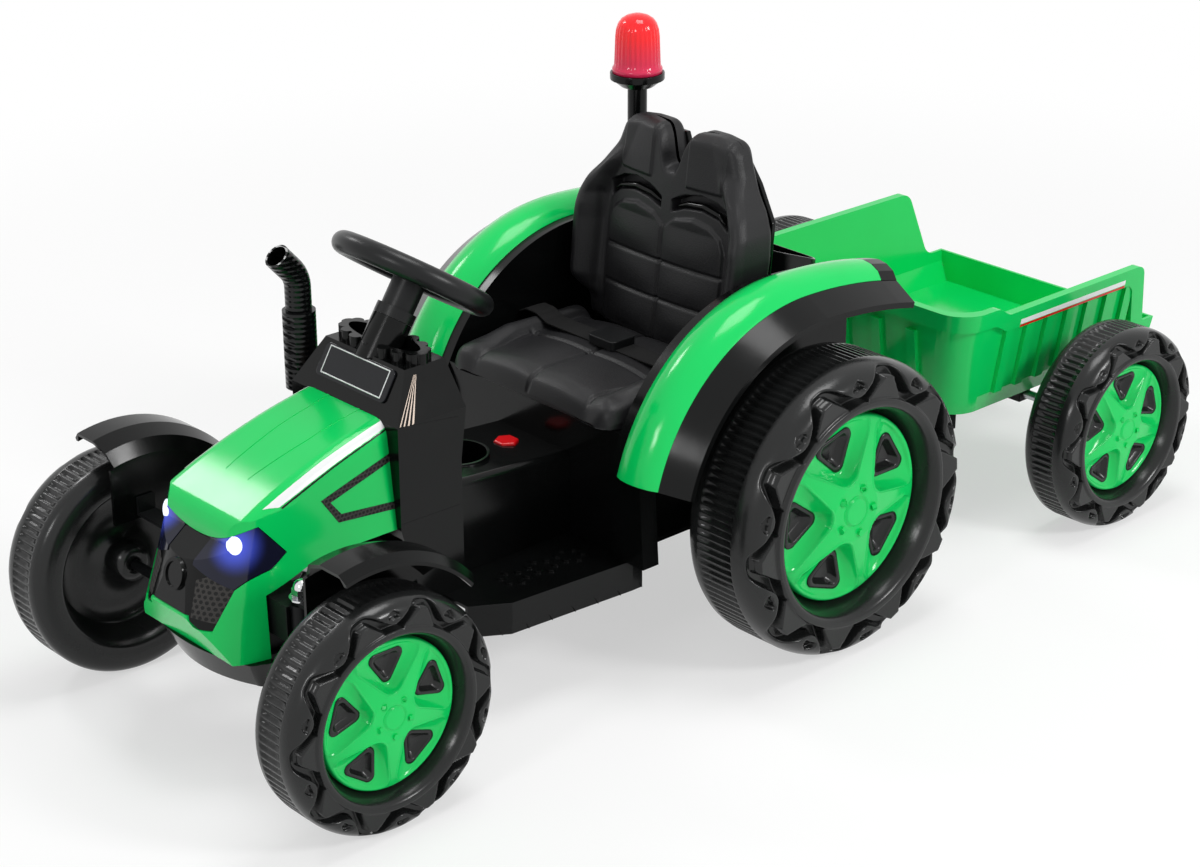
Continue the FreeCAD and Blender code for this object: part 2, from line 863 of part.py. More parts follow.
def hood_side(inset, extra):
    # The side view of the hood; extra runs past the rear and past the open lower edge
    rear = V(0, y_behind(hood_rear) + extra, hood_top - inset)
    lip = V(0, y_ahead(hood_lip_ahead - inset), hood_lip_height - inset)
    middle = (rear + lip) / 2 + V(0, 0, hood_crown_rise)
    nose = V(0, y_ahead(hood_nose_ahead - inset), hood_nose_height)
    chin = V(0, y_ahead(hood_chin_ahead - inset), hood_chin_height)
    beam_y = y_ahead(beam_half_depth + hood_beam_gap)
    corners = [lip, V(0, lip.y, hood_lip_foot), V(0, y_ahead(hood_brow_ahead - inset), hood_brow_height),
               nose,
               chin + (chin - nose) * (extra / (nose.z - chin.z)),
               V(0, y_ahead(hood_chin_back_ahead) + extra, hood_chin_height - extra),
               V(0, beam_y + extra, beam_top + hood_beam_gap - extra),
               V(0, y_behind(hood_arch_behind) + extra, hood_side_foot - extra),
               V(0, y_behind(hood_rear) + extra, hood_side_foot - extra), rear]
    edges = [Part.Arc(rear, middle, lip).toShape()]
    edges += [Part.makeLine(a, b) for a, b in zip(corners, corners[1:])]
    face = Part.Face(Part.Wire(edges))
    face.translate(V(-hood_low_half_width - cut_overrun, 0, 0))
    return face.extrude(V(2 * (hood_low_half_width + cut_overrun), 0, 0))


def rounded_hood(inset, extra):
    # The tapered sides meet the crown in two long rounded shoulders, and the crown rolls over at the lip
    low_half = hood_low_half_width - inset
    high_half = hood_high_half_width - inset
    rear = y_behind(hood_rear) + extra
    taper = span_y([(-low_half, hood_low_level), (low_half, hood_low_level), (high_half, hood_high_level),
                    (-high_half, hood_high_level)], y_ahead(hood_low_nose_ahead), rear)
    side = hood_side(inset, extra)
    body = taper.common(side)
    ridge = [edge for edge in body.Edges if edge.BoundBox.YLength > hood_rear
             and edge.BoundBox.ZMin > hood_lip_foot]
    lip = [edge for edge in side.Edges if edge.BoundBox.ZMin > hood_lip_foot
           and edge.BoundBox.YMax < front_axle_y and edge.BoundBox.XLength > hood_low_half_width]
    shouldered = body.makeFillet(hood_edge_radius - inset, ridge)
    return shouldered.common(side.makeFillet(hood_lip_radius - inset, lip)).common(hood_body(inset, rear))


def lamp_mask(growth):
    # The opening for the lamps and grille: its front view, ahead of the lamps' outer edge in the side view
    front = y_ahead(hood_low_nose_ahead)
    foot = mask_foot_height - growth
    half = [(mask_tab_x - growth, mask_tab_height - growth), (mask_tab_x + mask_tab_slope - growth, foot),
            (mask_foot_x + growth, foot), (mask_waist_x + growth, mask_waist_height - growth),
            (mask_tip_x + growth, mask_tip_height), (mask_corner_x + growth, mask_corner_height + growth)]
    points = [V(x, front, z) for x, z in both_sides(half)]
    left, right = points[len(half) - 1:len(half) + 1]
    lines = [Part.makeLine(a, b) for a, b in zip(points, points[1:] + points[:1]) if a is not left]
    brow = Part.Arc(left, V(0, front, mask_top_mid + growth), right).toShape()
    face = Part.Face(Part.Wire(Part.sortEdges(lines + [brow])[0]))
    corner_y = y_ahead(mask_corner_ahead) + growth
    waist_y = y_ahead(mask_waist_ahead) + growth
    low = hood_chin_height
    side = span_x([(front, low), (front, hood_top), (corner_y, hood_top), (corner_y, mask_corner_height),
                   (y_behind(mask_tip_behind) + growth, mask_tip_height),
                   (waist_y, mask_waist_height - growth),
                   (waist_y, low)], -hood_low_half_width, hood_low_half_width)
    return face.extrude(V(0, hood_low_nose_ahead + hood_rear, 0)).common(side)


def hood():
    shell = rounded_hood(0, 0).cut(rounded_hood(hood_wall, cut_overrun))
    return shell.cut(lamp_mask(0))


def hood_skin(outside, inside):
    # A layer of the hood's form between two depths below its outer face
    return rounded_hood(outside, cut_overrun).cut(rounded_hood(inside, cut_overrun))


def grille():
    front = y_ahead(hood_low_nose_ahead)
    face = hood_skin(grille_recess, hood_wall).common(lamp_mask(-mask_gap))
    flange = hood_skin(hood_wall, hood_wall + moulded_wall).common(lamp_mask(grille_flange))
    boss = Part.makeCylinder(emblem_radius, hood_low_nose_ahead, V(0, front, emblem_height), V(0, 1, 0))
    dish = Part.makeCylinder(emblem_radius - emblem_ring, hood_low_nose_ahead, V(0, front, emblem_height),
                             V(0, 1, 0))
    ring = hood_skin(grille_recess - emblem_stand, hood_wall).common(boss.cut(dish))
    disc = hood_skin(grille_recess - emblem_stand / 2, hood_wall).common(dish)
    return joined([face, flange, ring, disc])


def headlight_lenses():
    skin = hood_skin(grille_recess - lens_thickness, grille_recess).common(lamp_mask(-2 * mask_gap))
    front = y_ahead(hood_low_nose_ahead)
    lenses = []
    for side in (1, -1):
        corners = [(lens_inner_x, lens_foot_height), (mask_waist_x, mask_waist_height),
                   (mask_tip_x, mask_tip_height),
                   (mask_corner_x, mask_corner_height), (lens_inner_x, mask_corner_height)]
        area = span_y([(side * x, z) for x, z in corners], front, y_behind(hood_rear))
        lenses.append(skin.common(area))
    return Part.makeCompound(lenses)


def front_bumper():
    def plan(growth, z):
        return nose_plan(hood_low_half_width + growth, y_ahead(hood_chin_ahead + growth),
                         y_ahead(hood_chin_ahead - bumper_corner_back + growth),
                         y_ahead(hood_chin_back_ahead), y_behind(bumper_back), z)
    shell = Part.makeLoft([plan(bumper_overhang - bumper_inset, bumper_bottom),
                           plan(bumper_overhang, hood_chin_height)], True, True)
    hollow = Part.makeLoft([plan(bumper_overhang - bumper_inset - moulded_wall, bumper_bottom),
                            plan(bumper_overhang - moulded_wall, hood_chin_height)], True, True)
    hollow.translate(V(0, moulded_wall, moulded_wall))
    open_top = block(-hood_low_half_width, hood_low_half_width, y_ahead(hood_chin_back_ahead),
                     y_behind(bumper_back + cut_overrun), bumper_bottom - cut_overrun,
                     hood_chin_height + cut_overrun)
    shelf = block(-hood_low_half_width, hood_low_half_width, y_ahead(hood_low_nose_ahead + cut_overrun),
                  y_behind(bumper_back), hood_chin_height - moulded_wall, hood_chin_height)
    return shell.cut(hollow).fuse(shell.common(shelf)).cut(open_top).removeSplitter()


# Dash cowl, panel and exhaust

def cowl_form(inset, extra=0):
    low = [(y_behind(hood_rear + inset), hood_side_foot - extra),
           (y_behind(hood_rear + inset), cowl_shoulder_height),
           (y_behind(cowl_rear + cowl_flare - inset), cowl_shoulder_height),
           (y_behind(cowl_rear - inset), hood_side_foot + (cowl_shoulder_height - hood_side_foot) / 2),
           (y_behind(cowl_rear - inset), floor_height - extra),
           (y_behind(cowl_foot_front + inset), floor_height - extra),
           (y_behind(cowl_knee_front + inset), cowl_knee_height)]
    body = span_x(low, -cowl_half_width + inset, cowl_half_width - inset)
    foot = [V(x, y, cowl_shoulder_height) for x, y in rectangle(cowl_half_width - inset,
                                                                y_behind(hood_rear + inset),
                                                                y_behind(cowl_rear + cowl_flare - inset))]
    head = [V(x, y, cowl_top - inset) for x, y in rectangle(cowl_top_half_width - inset,
                                                            y_behind(cowl_top_front + inset),
                                                            y_behind(cowl_rear - inset))]
    upper = Part.makeLoft([closed_wire(foot), closed_wire(head)], True, True)
    return body.fuse(upper).removeSplitter()


def rim_ring():
    # The fluted oval collar on top of the cowl, round the foot of the steering neck
    middle = y_behind((cowl_top_front + cowl_rear) / 2)
    lobes = []
    for index in range(rim_lobe_count):
        turn = 2 * math.pi * index / rim_lobe_count
        x = rim_half_length * math.cos(turn)
        y = middle + rim_half_depth * math.sin(turn)
        lobes.append(Part.makeCylinder(rim_lobe_radius, rim_height, V(x, y, cowl_top)))
    ellipse = Part.Ellipse(V(0, middle, cowl_top), rim_half_length, rim_half_depth)
    hollow = Part.Face(Part.Wire([ellipse.toShape()])).extrude(V(0, 0, rim_height))
    return lobes[0].multiFuse(lobes[1:]).fuse(hollow).cut(hollow_core(middle)).removeSplitter()


def hollow_core(middle):
    ellipse = Part.Ellipse(V(0, middle, cowl_top), rim_half_length - rim_lobe_radius / 2,
                           rim_half_depth - rim_lobe_radius / 2)
    return Part.Face(Part.Wire([ellipse.toShape()])).extrude(V(0, 0, rim_height))


def steer_axis():
    tilt = math.radians(steer_tilt)
    return V(0, math.sin(tilt), math.cos(tilt))


def steer_centre():
    return V(0, y_behind(steer_centre_behind), steer_centre_height)


def shaft_bore(radius):
    # A round bar along the steering axis, from the wheel down to the tie rod
    centre = steer_centre()
    axis = steer_axis()
    return Part.makeCylinder(radius, shaft_length(), centre - axis * shaft_length(), axis)


def shaft_length():
    tilt = math.radians(steer_tilt)
    crank_drop = (crank_length() + crank_width / 2) * math.sin(tilt)
    low = tie_rod_levels()[1] + 2 * linkage_clearance + crank_drop
    return (steer_centre_height - low) / math.cos(tilt)


def dash_cowl():
    shell = cowl_form(0).cut(cowl_form(moulded_wall, cut_overrun))
    shell = shell.fuse(rim_ring()).fuse(column_boot()).removeSplitter()
    return shell.cut(shaft_bore(steer_shaft_radius + running_clearance))


def dash_panel():
    foot = V(0, y_behind(hood_rear), cowl_shoulder_height)
    head = V(0, y_behind(cowl_top_front), cowl_top)
    low, high = [foot + (head - foot) * share for share in dash_panel_shares]
    slope = (head - foot).normalize()
    normal = V(0, -slope.z, slope.y)
    wide = V(dash_panel_half_width, 0, 0)
    face = outline([low - wide, low + wide, high + wide, high - wide], dash_panel_corner)
    return face.extrude(normal * dash_panel_thickness)


def exhaust_stack():
    x = -exhaust_out
    y = y_behind(exhaust_back)
    bend_centre = V(x, y - exhaust_bend_radius, exhaust_bend_height)

    def pipe(radius, foot, tip):
        up = Part.makeCylinder(radius, exhaust_bend_height - foot, V(x, y, foot))
        ring = Part.Face(Part.Wire([Part.makeCircle(radius, V(x, y, exhaust_bend_height))]))
        bend = ring.revolve(bend_centre, V(1, 0, 0), exhaust_bend_angle)
        turn = math.radians(exhaust_bend_angle)
        end = bend_centre + V(0, math.cos(turn), math.sin(turn)) * exhaust_bend_radius
        way = V(0, -math.sin(turn), math.cos(turn))
        return joined([up, bend, Part.makeCylinder(radius, tip, end, way)])

    sleeve = Part.makeCylinder(exhaust_sleeve_radius, exhaust_sleeve_top - exhaust_foot,
                               V(x, y, exhaust_foot))
    lug = block(x, -cowl_half_width, y - exhaust_lug_depth / 2, y + exhaust_lug_depth / 2,
                exhaust_foot, exhaust_foot + exhaust_lug_height)
    stack = joined([pipe(exhaust_pipe_radius, exhaust_foot, exhaust_tip_length), sleeve, lug])
    slots = []
    pitch = (exhaust_sleeve_top - exhaust_foot - exhaust_lug_height) / louvre_count
    for index in range(louvre_count):
        z = exhaust_foot + exhaust_lug_height + pitch * index
        slots.append(block(x - exhaust_sleeve_radius, x + exhaust_sleeve_radius, y - exhaust_sleeve_radius,
                           y - exhaust_pipe_radius, z, z + louvre_height))
    stack = stack.cut(Part.makeCompound(slots))
    return stack.cut(pipe(exhaust_pipe_radius - exhaust_wall, exhaust_sleeve_top,
                          exhaust_tip_length + cut_overrun))


# Steering wheel, its shaft and the horn button, made upright and then tilted

def tilted(shape):
    shape.rotate(V(0, 0, 0), V(1, 0, 0), -steer_tilt)
    shape.translate(steer_centre())
    return shape


def neck_length():
    return neck_drop - moving_clearance


def column_boot():
    # The fixed sleeve round the shaft, square to it, under the turning neck
    centre = steer_centre()
    axis = steer_axis()
    long = (steer_centre_height - cowl_top) / math.cos(math.radians(steer_tilt)) + neck_collar_radius
    sleeve = Part.makeCylinder(neck_collar_radius, long - neck_drop, centre - axis * long, axis)
    inside = block(-cowl_half_width, cowl_half_width, y_behind(hood_rear), y_behind(cowl_rear),
                   floor_height, cowl_top - moulded_wall / 2)
    return sleeve.cut(inside)


def steering_wheel():
    ring = Part.makeTorus(steer_ring_radius, steer_grip_radius)
    hub = Part.makeCylinder(steer_hub_radius, 2 * steer_hub_half_height, V(0, 0, -steer_hub_half_height))
    spokes = []
    for turn in (0, 90, 180):
        spoke = block(0, steer_ring_radius, -spoke_width / 2, spoke_width / 2, -spoke_thickness / 2,
                      spoke_thickness / 2)
        spoke.rotate(V(0, 0, 0), V(0, 0, 1), turn)
        spokes.append(spoke)
    foot = -neck_length()
    neck = Part.makeCylinder(neck_radius, -foot, V(0, 0, foot))
    collar = Part.makeCylinder(neck_collar_radius, neck_collar_height, V(0, 0, foot))
    wheel = joined([ring, hub, neck, collar] + spokes)
    pocket = Part.makeCylinder(horn_radius + moving_clearance, horn_depth + moving_clearance,
                               V(0, 0, steer_hub_half_height - horn_depth - moving_clearance))
    socket = Part.makeCylinder(steer_shaft_radius, -foot - spoke_thickness, V(0, 0, foot))
    return tilted(wheel.cut(pocket).cut(socket))


def horn_button():
    low = steer_hub_half_height - horn_depth + horn_stand - moving_clearance
    button = Part.makeCylinder(horn_radius, horn_depth, V(0, 0, low))
    top = button.Edges[0]
    for edge in button.Edges:
        if edge.BoundBox.ZMin > low + horn_depth / 2:
            top = edge
    return tilted(button.makeChamfer(horn_depth / 4, [top]))


def steering_shaft():
    centre = steer_centre()
    axis = steer_axis()
    length = shaft_length()
    foot = centre - axis * length
    rod = Part.makeCylinder(steer_shaft_radius, length - spoke_thickness, foot, axis)
    reach = crank_length()
    blade = span_z(rectangle(crank_width / 2, -crank_width / 2, reach + crank_width / 2), 0, crank_thickness,
                   crank_width / 3)
    pin = Part.makeCylinder(steer_pin_radius, crank_pin_length + crank_thickness,
                            V(0, reach, -crank_pin_length))
    crank = blade.fuse(pin)
    crank.rotate(V(0, 0, 0), V(1, 0, 0), -steer_tilt)
    crank.translate(foot)
    return joined([rod, crank])


# Floor pan, console, pedal and seat box

def footboard_half_outline():
    return [(footboard_nose_half_width, y_behind(footboard_front)),
            (footboard_front_half_width, y_behind(footboard_front)),
            (footboard_corner_half_width, y_behind(footboard_corner_behind)),
            (footboard_half_width, y_behind(seat_box_front)),
            (footboard_half_width, y_behind(footboard_rear)),
            (seat_box_half_width, y_behind(footboard_rear)), (seat_box_half_width, y_behind(seat_box_rear))]


def pedal_hinge():
    return V(-pedal_out, y_behind(pedal_hinge_behind), floor_height + pedal_hinge_height)


def pedal_ears():
    hinge = pedal_hinge()
    ears = []
    for side in (-1, 1):
        inner = hinge.x + side * (pedal_width / 2 + moving_clearance)
        outer = inner + side * pedal_ear_width
        low, high = sorted((inner, outer))
        upright = block(low, high, hinge.y - pedal_barrel_radius, hinge.y + pedal_barrel_radius,
                        floor_height - floor_thickness, hinge.z)
        cheek = Part.makeCylinder(pedal_barrel_radius, pedal_ear_width, V(low, hinge.y, hinge.z), V(1, 0, 0))
        ears.append(upright.fuse(cheek))
    pin = Part.makeCylinder(pedal_pin_radius + running_clearance,
                            pedal_width + 2 * pedal_ear_width + cut_overrun,
                            V(hinge.x - pedal_width / 2 - pedal_ear_width - cut_overrun / 2, hinge.y,
                              hinge.z),
                            V(1, 0, 0))
    return [ear.cut(pin) for ear in ears]


def grip_bumps():
    bumps = []
    pitch = (seat_box_front - footboard_corner_behind) / (grip_rings + 1)
    x = (console_half_width + footboard_corner_half_width) / 2
    for ring in range(grip_rings):
        y = y_behind(footboard_corner_behind + pitch * (ring + 1))
        for index in range(grip_ring_count):
            turn = 2 * math.pi * index / grip_ring_count
            centre = V(x + grip_ring_radius * math.cos(turn), y + grip_ring_radius * math.sin(turn),
                       floor_height)
            bumps.append(Part.makeCylinder(grip_bump_radius, grip_bump_height, centre))
    return bumps


def floor_pan():
    half = footboard_half_outline()
    plate = span_z(both_sides(half), floor_height - floor_thickness, floor_height)
    skirt_outline = half[1:5]
    inner = [(x - skirt_wall, y) for x, y in reversed(skirt_outline)]
    skirt = span_z(skirt_outline + inner, skirt_foot, floor_height)
    face = span_z(skirt_outline + [(x - scallop_relief, y) for x, y in reversed(skirt_outline)],
                  skirt_foot, floor_height)
    low_y = y_behind(footboard_front)
    pitch = (footboard_rear - footboard_front) / scallop_count
    for index in range(scallop_count):
        centre = V(footboard_nose_half_width, low_y + pitch * (index + 1 / 2),
                   skirt_foot - pitch / 2 + scallop_depth)
        notch = Part.makeCylinder(pitch / 2, footboard_half_width, centre, V(1, 0, 0))
        skirt = skirt.cut(notch.common(face))
    pan = joined([plate, skirt, mirrored(skirt)] + grip_bumps() + pedal_ears())
    return pan


def centre_console():
    low_y = y_behind(cowl_rear)
    high_y = y_behind(seat_box_front)
    side = [(low_y, floor_height), (low_y, console_front_height), (high_y, console_rear_height),
            (high_y, floor_height)]
    body = span_x(side, -console_half_width, console_half_width)
    ridge = [edge for edge in body.Edges if edge.BoundBox.YLength > cup_radius
             and edge.BoundBox.ZMin > console_rear_height - console_edge_radius]
    body = body.makeFillet(console_edge_radius,
                           [edge for edge in ridge if abs(edge.BoundBox.Center.x) > cup_radius])
    inner = [(low_y + moulded_wall, floor_height - cut_overrun),
             (low_y + moulded_wall, console_front_height - moulded_wall),
             (high_y - moulded_wall, console_rear_height - moulded_wall),
             (high_y - moulded_wall, floor_height - cut_overrun)]
    inner_half = console_half_width - moulded_wall - console_edge_radius / 4
    cup_y = y_behind(cup_behind)
    cup_floor = cup_rim_height - cup_depth
    well = Part.makeCylinder(cup_radius + moulded_wall, cup_depth + moulded_wall,
                             V(0, cup_y, cup_floor - moulded_wall))
    body = body.cut(span_x(inner, -inner_half, inner_half)).fuse(well)
    body = body.cut(Part.makeCylinder(cup_radius, cup_depth + cut_overrun, V(0, cup_y, cup_floor)))
    button_hole = button_prism(moving_clearance, floor_height, console_front_height)
    return body.cut(button_hole).removeSplitter()


def button_prism(growth, low, high):
    y = y_behind(button_behind)
    reach = button_across / 2 + growth
    corners = [(reach * math.cos(math.radians(turn)), y + reach * math.sin(math.radians(turn)))
               for turn in range(0, 360, 60)]
    return span_z(corners, low, high)


def start_button():
    top = console_rear_height + button_stand + moulded_wall
    button = button_prism(0, top - button_depth, top)
    crown = [edge for edge in button.Edges if edge.BoundBox.ZMin > top - button_stand]
    return button.makeChamfer(button_stand / 2, crown)


def accelerator_pedal():
    hinge = pedal_hinge()
    low_x = hinge.x - pedal_width / 2
    barrel = Part.makeCylinder(pedal_barrel_radius, pedal_width, V(low_x, hinge.y, hinge.z), V(1, 0, 0))
    toe_y = hinge.y - pedal_length
    toe_z = hinge.z + pedal_rise
    half = pedal_thickness / 2
    plate = span_x([(hinge.y, hinge.z - half), (hinge.y, hinge.z + half), (toe_y, toe_z + half),
                    (toe_y, toe_z - half)],
                   low_x, low_x + pedal_width)
    ribs = []
    for share in pedal_rib_shares:
        y = hinge.y - pedal_length * share
        z = hinge.z + pedal_rise * share + half
        ribs.append(block(low_x, low_x + pedal_width, y - half / 2, y + half / 2, z - half, z + half))
    pin_length = pedal_width + 2 * pedal_ear_width
    pin = Part.makeCylinder(pedal_pin_radius, pin_length, V(low_x - pedal_ear_width, hinge.y, hinge.z),
                            V(1, 0, 0))
    return joined([barrel, plate, pin] + ribs)


def seat_box():
    low_y = y_behind(seat_box_front)
    high_y = y_behind(seat_box_rear)
    corners = [(x, y) for x, y in rectangle(seat_box_half_width, low_y, high_y)]
    body = span_z(corners, floor_height, seat_box_top)
    inner = rectangle(seat_box_half_width - moulded_wall, low_y + moulded_wall, high_y - moulded_wall)
    body = body.cut(span_z(inner, floor_height - cut_overrun, seat_box_top - moulded_wall))
    hole = rear_axle_radius + running_clearance
    axle = Part.makeCylinder(hole, 2 * seat_box_half_width,
                             V(-seat_box_half_width, rear_axle_y, rear_tyre_radius),
                             V(1, 0, 0))
    return body.cut(axle)


# Seat, belt, basket and beacon

def cushion_section(y, drop, draw):
    # A slice across the seat: two raised side bolsters and a crowned middle over a flat base
    half = cushion_half_width - draw
    inner = half - bolster_width
    base = seat_box_top + seat_gap
    edge = cushion_edge_height - drop
    points = [V(-half + draw / 2, y, base), V(-half, y, (base + edge) / 2),
              V(-half + bolster_width / 8, y, edge),
              V(-half + bolster_width / 2, y, bolster_crown_height - drop), V(-inner, y, edge),
              V(0, y, cushion_crown_height - drop)]
    mirror = [V(-p.x, y, p.z) for p in points[:5]]
    arcs = [(points[0], points[1], points[2]), (points[2], points[3], points[4]),
            (points[4], points[5], mirror[4]),
            (mirror[4], mirror[3], mirror[2]), (mirror[2], mirror[1], mirror[0])]
    edges = [Part.Arc(a, b, c).toShape() for a, b, c in arcs]
    return Part.Wire(edges + [Part.makeLine(mirror[0], points[0])])


def seat_cushion():
    front = y_behind(cushion_front)
    rear = y_behind(cushion_rear)
    rise = cushion_edge_height - seat_box_top
    sections = [cushion_section(front, rise / 2, cushion_nose),
                cushion_section(front + cushion_nose / 2, rise / 6, cushion_nose / 3),
                cushion_section(front + 2 * cushion_nose, 0, 0),
                cushion_section(rear - 2 * cushion_nose, 0, 0),
                cushion_section(rear, rise / 4, cushion_nose / 2)]
    pad = Part.makeLoft(sections, True, True)
    seams = []
    for share in cushion_seam_shares:
        y = front + (rear - front) * share
        seams.append(block(-cushion_half_width + bolster_width, cushion_half_width - bolster_width,
                           y - seam_width / 2,
                           y + seam_width / 2, cushion_crown_height - 2 * seam_depth, bolster_crown_height))
    return pad.cut(Part.makeCompound(seams))


def back_front(z):
    # The pad's face at the centre leans back with height
    return y_behind(back_front_foot) + back_recline * (z - back_foot) / (back_top - back_foot)


def back_section(z, half, wing, draw):
    face = back_front(z) + draw
    rear = back_front(z) + back_thickness - draw
    inner = half - back_wing_width
    points = [V(-half, rear, z), V(-half - back_crown / 3, face - wing / 2, z),
              V(-half + back_crown, face - wing, z),
              V(-half + back_wing_width / 2, face - wing - back_crown / 3, z), V(-inner, face, z),
              V(0, face - back_crown, z)]
    mirror = [V(-p.x, p.y, z) for p in points[:5]]
    arcs = [(points[0], points[1], points[2]), (points[2], points[3], points[4]),
            (points[4], points[5], mirror[4]),
            (mirror[4], mirror[3], mirror[2]), (mirror[2], mirror[1], mirror[0])]
    edges = [Part.Arc(a, b, c).toShape() for a, b, c in arcs]
    return Part.Wire(edges + [Part.makeLine(mirror[0], points[0])])


def hump_section(z, inner, outer, draw):
    face = back_front(z) + draw
    rear = back_front(z) + back_thickness - draw
    middle = (inner + outer) / 2
    corners = [V(inner, rear, z), V(inner, face, z), V(middle, face - back_crown, z), V(outer, face, z),
               V(outer, rear, z)]
    front = Part.Arc(corners[1], corners[2], corners[3]).toShape()
    return Part.Wire([Part.makeLine(corners[0], corners[1]), front, Part.makeLine(corners[3], corners[4]),
                      Part.makeLine(corners[4], corners[0])])


def seat_back_pad():
    wing_foot = bolster_crown_height + seat_gap
    sections = [back_section(back_foot, back_foot_half_width, 0, back_crown / 2),
                back_section(wing_foot, (back_foot_half_width + back_half_width) / 2, 0, 0),
                back_section(wing_foot + back_wing, back_half_width, back_wing, 0),
                back_section(back_waist_height, back_half_width, back_wing, 0),
                back_section(back_neck_height, back_neck_half_width, back_wing / 2, 0)]
    pad = Part.makeLoft(sections, True, True)
    pieces = [pad]
    for side in (-1, 1):
        humps = [hump_section(back_waist_height, side * hump_inner / 4, side * back_neck_half_width, 0),
                 hump_section(notch_height, side * hump_inner / 2,
                              side * (back_neck_half_width + hump_half_width) / 2, 0),
                 hump_section(back_top - back_crown, side * hump_inner, side * hump_half_width, 0),
                 hump_section(back_top, side * (hump_inner + back_crown),
                              side * (hump_half_width - back_crown), back_crown)]
        pieces.append(Part.makeLoft(humps, True, True))
    pad = joined(pieces)
    seams = []
    for share in back_seam_shares:
        z = back_foot + (back_top - back_foot) * share
        face = back_front(z)
        seams.append(block(-back_half_width + back_wing_width, back_half_width - back_wing_width,
                           face - back_wing,
                           face - back_crown + seam_depth, z - seam_width / 2, z + seam_width / 2))
    return pad.cut(Part.makeCompound(seams))


def seat_back_shell():
    outline_half = [(back_foot_half_width, seat_box_top),
                    (back_half_width - back_crown, back_foot + back_wing),
                    (back_half_width - back_crown, back_waist_height),
                    (back_neck_half_width - back_crown, back_neck_height),
                    (hump_half_width - 2 * back_crown, back_top - 2 * back_crown),
                    (hump_inner + 2 * back_crown, back_top - 2 * back_crown)]
    low = back_front(seat_box_top) + back_thickness + seat_gap
    high = back_front(back_top) + back_thickness + seat_gap
    wall = span_x([(low, seat_box_top), (high, back_top), (high + shell_thickness, back_top),
                   (low + shell_thickness, seat_box_top)], -back_half_width, back_half_width)
    front_view = span_y(both_sides(outline_half), low - cut_overrun, high + shell_foot_depth + cut_overrun)
    ribs = []
    for share in shell_rib_shares:
        x = share * back_foot_half_width
        rib = span_x([(low + shell_thickness / 2, seat_box_top),
                      (high + shell_thickness / 2, notch_height - shell_foot_depth),
                      (low + shell_foot_depth, seat_box_top)],
                     x - shell_thickness / 2, x + shell_thickness / 2)
        ribs.append(rib)
    notch_half = hump_inner + 2 * back_crown
    notch = span_y([(-notch_half, back_top + cut_overrun), (notch_half, back_top + cut_overrun),
                    (0, notch_height - back_crown)], low - cut_overrun, high + cut_overrun)
    return joined([wall.common(front_view).cut(notch)] + ribs)


def lap_belt():
    # Two straps lie on the cushion, climb over the side bolsters and end at the fender walls
    straps = []
    y = y_behind(buckle_behind)
    flat = cushion_crown_height + seat_gap
    crest = bolster_crown_height + seat_gap
    middle = cushion_half_width - bolster_width / 2
    for side in (-1, 1):
        under = [(buckle_length / 2, flat), (middle - bolster_width / 2 - strap_bend, flat),
                 (middle - strap_bend, crest), (middle + strap_bend, crest),
                 (seat_box_half_width, cushion_edge_height + strap_bend)]
        over = [(x, z + strap_thickness) for x, z in reversed(under)]
        points = [(side * x, z) for x, z in under + over]
        straps.append(span_y(points, y - strap_width / 2, y + strap_width / 2))
    return Part.makeCompound(straps)


def belt_buckle():
    y = y_behind(buckle_behind)
    low = cushion_crown_height + seat_gap
    half = buckle_width / 2
    return span_z(rectangle(buckle_length / 2, y - half, y + half), low, low + buckle_height,
                  buckle_height / 2)


def rear_basket():
    low_y = y_behind(basket_front)
    high_y = y_behind(basket_rear)
    outer = rectangle(basket_half_width, low_y, high_y)
    inner = rectangle(basket_half_width - moulded_wall, low_y + moulded_wall, high_y - moulded_wall)
    body = span_z(outer, seat_box_top, basket_front_height, basket_corner_radius)
    hollow = span_z(inner, seat_box_top + moulded_wall, basket_front_height + cut_overrun,
                    basket_corner_radius - moulded_wall)
    slope = span_x([(low_y, basket_front_height), (high_y, basket_rear_height),
                    (high_y, basket_front_height + cut_overrun),
                    (low_y, basket_front_height + cut_overrun)], -basket_half_width, basket_half_width)
    grip_top = basket_rear_height - basket_grip_drop
    grip = span_y(rectangle(basket_grip_half_width, grip_top - basket_grip_height, grip_top),
                  high_y - basket_corner_radius,
                  high_y + cut_overrun, basket_grip_height / 3)
    return body.cut(hollow).cut(slope).cut(grip)


def beacon_mast():
    section = [(0, seat_box_top), (mast_foot_radius, seat_box_top),
               (mast_foot_radius, seat_box_top + mast_foot_height),
               (mast_radius, seat_box_top + 2 * mast_foot_height), (mast_radius, mast_top), (0, mast_top)]
    return turned_z(section, -beacon_out, y_behind(beacon_behind))


def beacon_base():
    high = mast_top + beacon_base_height
    section = [(0, mast_top), (beacon_neck_radius, mast_top),
               (beacon_base_radius, mast_top + beacon_base_height / 2),
               (beacon_base_radius + beacon_wall, mast_top + beacon_base_height / 2),
               (beacon_base_radius + beacon_wall, high),
               (0, high)]
    return turned_z(section, -beacon_out, y_behind(beacon_behind))


def beacon_lens():
    low = mast_top + beacon_base_height
    shoulder = beacon_top - beacon_dome
    section = [(beacon_lens_radius - beacon_wall, low), (beacon_lens_radius, low),
               (beacon_lens_tip_radius, shoulder),
               (beacon_lens_tip_radius - beacon_dome / 2, beacon_top - beacon_wall), (0, beacon_top),
               (0, beacon_top - beacon_wall),
               (beacon_lens_tip_radius - beacon_dome / 2 - beacon_wall / 2, beacon_top - 2 * beacon_wall),
               (beacon_lens_tip_radius - beacon_wall, shoulder)]
    return turned_z(section, -beacon_out, y_behind(beacon_behind))


# Rear fenders and their green covers

